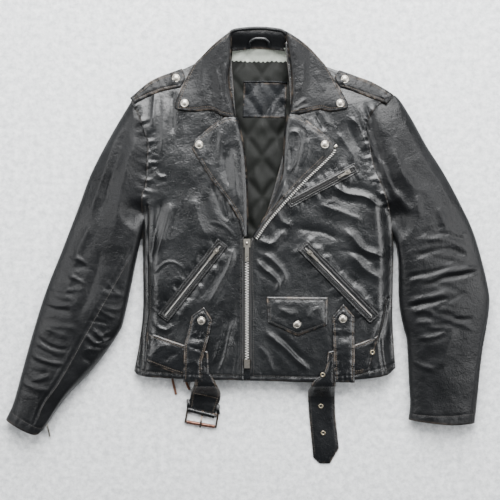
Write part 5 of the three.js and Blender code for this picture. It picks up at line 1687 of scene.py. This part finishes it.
def sleeves() -> list[Sleeve]:
    """The two sleeves, with the creases that years of wear have set in them."""
    left = Sleeve(
        "sleeve_left",
        armhole=((-216, 330), (-207, 372), (-205, 419), (-206, 450), (-213, 480), (-228, 508), (-246, 529)),
        outer=((-246, 529), (-286, 461.5), (-322, 392), (-346, 328), (-377, 247), (-407, 171), (-431, 95.5),
               (-452, 20), (-469, -41), (-483, -72)),
        inner=((-216, 330), (-237, 228), (-258, 126), (-271, 89.5), (-316, 26), (-370, -32), (-407, -84)),
        cuff=((-407, -84), (-428, -99), (-483, -72)),
        seam=((-240, 262), (-256, 226), (-309, 133), (-332.5, 91), (-381.5, 4), (-411, -38), (-428, -78)),
        folds=[Fold(((-262, 490), (-285, 430), (-310, 350), (-322, 300)), 3.6, 9),
               Fold(((-245, 500), (-270, 430), (-296, 340), (-306, 290)), -3.2, 10),
               Fold(((-232, 470), (-252, 400), (-268, 330), (-280, 270)), 2.6, 9),
               Fold(((-320, 300), (-338, 258), (-345, 236), (-335, 222)), 3.2, 8),
               Fold(((-344, 250), (-356, 200), (-372, 140)), 2.2, 9),
               Fold(((-300, 250), (-318, 180), (-346, 110)), -3.6, 10),
               Fold(((-318, 102), (-300, 86), (-282, 96)), 3.0, 5),
               Fold(((-330, 92), (-310, 72), (-276, 84)), 3.4, 4.5),
               *ladder((-338, 236), (-428, -20), 15, 38, 0.15, 5, 2.1, 5.0),
               *ladder((-268, 180), (-330, 30), 9, 30, -0.1, 8, 1.7, 5.0)],
        hold=Hold("root", "sleeve_left", (-224, 432), (-294, 424)),
    )
    right = Sleeve(
        "sleeve_right",
        armhole=((234, 308), (214, 366), (201, 403), (192, 440), (187, 471), (191, 497), (212, 522),
                 (238, 536)),
        outer=((238, 536), (254, 536), (280, 498), (310.5, 443), (341, 395), (371, 340), (401, 274),
               (425.6, 180), (428, 133), (415, 54), (405.5, -39), (401, -79)),
        inner=((234, 308), (254.6, 247), (258, 152), (266, 103), (273, 74), (277, -4), (279, -43),
               (276, -72)),
        cuff=((276, -72), (348, -80), (401, -79)),
        seam=((424, 120), (414, 76), (404, 10), (393, -76)),
        folds=[Fold(((262, 500), (292, 440), (330, 380)), 2.2, 14),
               Fold(((240, 440), (262, 392), (290, 350)), 2.6, 10),
               Fold(((316, 402), (340, 362), (358, 322)), 2.6, 8),
               Fold(((250, 360), (268, 330), (286, 318)), 3.2, 6),
               Fold(((288, 352), (292, 324), (300, 306)), 2.8, 6),
               Fold(((330, 330), (338, 304), (346, 280)), 3.0, 7),
               Fold(((222, 420), (238, 372), (262, 332)), 3.0, 5),
               Fold(((300, 272), (340, 276), (384, 268)), -3.6, 4),
               Fold(((280, 234), (320, 246), (352, 248), (388, 234)), -3.6, 4),
               Fold(((266, 194), (312, 206), (344, 212)), -3.4, 4),
               Fold(((312, 186), (350, 196), (412, 206)), -4.4, 4.5),
               Fold(((314, 196), (352, 206), (408, 216)), 3.0, 5),
               Fold(((270, 140), (312, 148), (356, 160)), -4.0, 4.5),
               Fold(((270, 150), (312, 160), (352, 170)), 2.8, 5),
               Fold(((282, 130), (304, 134), (324, 128)), 3.0, 5),
               Fold(((284, 112), (306, 112), (322, 108)), 2.4, 5),
               Fold(((350, 120), (372, 116), (396, 118)), -2.6, 4),
               Fold(((288, 84), (318, 84), (350, 96)), 2.2, 4.5),
               Fold(((330, 20), (346, 60), (360, 104)), 2.8, 11),
               Fold(((280, 40), (300, 30), (322, 22)), 2.0, 5),
               *ladder((330, 290), (338, 90), 14, 60, 0.0, 19, 1.8, 4.5)],
        hold=Hold("root", "sleeve_right", (226, 423), (296, 433)),
    )
    return [left, right]


@dataclass
class Closure:
    """The main zip in the open gap between the fronts, and the small fittings that stay as framed."""

    def build(self) -> None:
        """Builds the zip and dresses the frame's own metal parts."""

        def level(x: Array, y: Array) -> Array:
            """The height of the main zip's tape."""
            return np.full(np.shape(x), FRONT_TOP - 1.2)

        Zip("main_zip", ((ZIP_X, 42), (ZIP_X, 268)), level, ROOT, ("zip_half_left", "zip_half_right"),
            tape=8.0, reach=4.6, pitch=4.8).build()
        foot = Leaf("zip_foot", ((-37, 3), (-20, 3)), ((-20, 3), (-20, 44)), ((-37, 44), (-20, 44)),
                    ((-37, 3), (-37, 44)), under=lambda x, y: np.full(np.shape(x), FRONT_TOP - 4.6),
                    thickness=2.0, step=2.4, straight=True)
        dress(foot.build(), STRAP, ROOT, "shell_leather")
        fittings = {
            NICKEL: ("zip_retainer_box", "main_slider", "main_pull", "hand_left_slider", "hand_left_pull",
                     "hand_right_slider", "hand_right_pull", "chest_slider", "chest_pull"),
            COPPER: ("buckle_roller",),
            BRONZE: ("buckle_frame", "buckle_prong"),
        }
        for finish, names in fittings.items():
            for name in names:
                for held in frame["nodes"][name].material_slots:
                    held.material = finish.material()
        pin = np.array([(-406, -80, 16), (-405, -88, 10), (-402, -106, 2.4)], float)
        dress(tube("cuff_pull", curve(pin, 16), 1.7, 0.9, 8), NICKEL, Hold("sleeve_left"), "nickel")


@dataclass
class Studio:
    """The pale felt it lies on, soft light, and the camera straight above."""

    distance: float = 2.24
    lens: float = 85.0
    aim: Point = (3.3, -2.8)
    half_floor: float = 12.0  # metres
    lamps: tuple = (  # each one's name, place and side in metres, and its power in watts
        ("top_softbox", (0.1, 1.75, 1.45), 2.0, 214.0),
        ("left_softbox", (-1.7, 0.3, 1.5), 1.3, 29.0),
        ("right_softbox", (1.7, 0.1, 1.5), 1.3, 36.0),
    )

    def build(self) -> None:
        """Builds the floor, the lights and the camera."""
        n = 3  # points a side
        x, y = np.meshgrid(*[np.linspace(-self.half_floor, self.half_floor, n)] * 2)
        mesh = bpy.data.meshes.new("floor")
        mesh.from_pydata(np.stack([x, y, 0 * x - 0.0004], axis=-1).reshape(-1, 3).tolist(), [],
                         grid_faces(n, n).tolist())
        floor = bpy.data.objects.new("floor", mesh)
        bpy.context.scene.collection.objects.link(floor)
        felt = bpy.data.materials.new("pale_felt")
        felt.use_nodes = True
        tree = felt.node_tree
        tree.nodes.clear()
        place = add(tree, "TexCoord").outputs["Object"]
        nap = add(tree, "TexNoise", {"Vector": place, "Scale": 1 / 0.012, "Detail": 6.0, "Roughness": 0.7})
        tuft = add(tree, "MapRange", {"Value": nap.outputs["Fac"], "From Min": 0.36, "From Max": 0.64})
        colour = add(tree, "Mix",
                     {"Factor": tuft.outputs["Result"], "A": linear("#c3c6c8"), "B": linear("#eff1f2")},
                     data_type="RGBA")
        relief = add(tree, "Bump", {"Height": nap.outputs["Fac"], "Strength": 0.35, "Distance": 0.002})
        shader = add(tree, "BsdfPrincipled", {"Base Color": colour.outputs["Result"], "Roughness": 0.95,
                                              "Normal": relief.outputs["Normal"]})
        out = add(tree, "OutputMaterial", {"Surface": shader.outputs["BSDF"]})
        out.is_active_output = True
        mesh.materials.append(felt)
        world = bpy.data.worlds.new("studio")
        world.use_nodes = True
        sky = world.node_tree.nodes["Background"]
        sky.inputs["Color"].default_value = (0.93, 0.96, 1.0, 1.0)
        sky.inputs["Strength"].default_value = 0.16
        bpy.context.scene.world = world
        for name, at, size, power in self.lamps:
            lamp = bpy.data.lights.new(name, "AREA")
            lamp.shape, lamp.size, lamp.energy = "SQUARE", size, power
            holder = bpy.data.objects.new(name, lamp)
            holder.location = at
            direction = -holder.location.normalized()
            holder.rotation_euler = direction.to_track_quat("-Z", "Y").to_euler()
            bpy.context.scene.collection.objects.link(holder)
        camera = bpy.data.cameras.new("camera")
        camera.lens, camera.sensor_width = self.lens, 36.0
        eye = bpy.data.objects.new("camera", camera)
        eye.location = (self.aim[0] * MM, self.aim[1] * MM, self.distance)
        bpy.context.scene.collection.objects.link(eye)
        bpy.context.scene.camera = eye


def main() -> None:
    """Builds the jacket piece by piece, then the studio round it."""
    Studio().build()
    for part in (Body(), *sleeves(), Lapels(), Collar(), Shoulders(), Pockets(), Belt(), Closure()):
        log.info("-- %s", type(part).__name__)
        part.build()


if __name__ == "__main__":
    main()
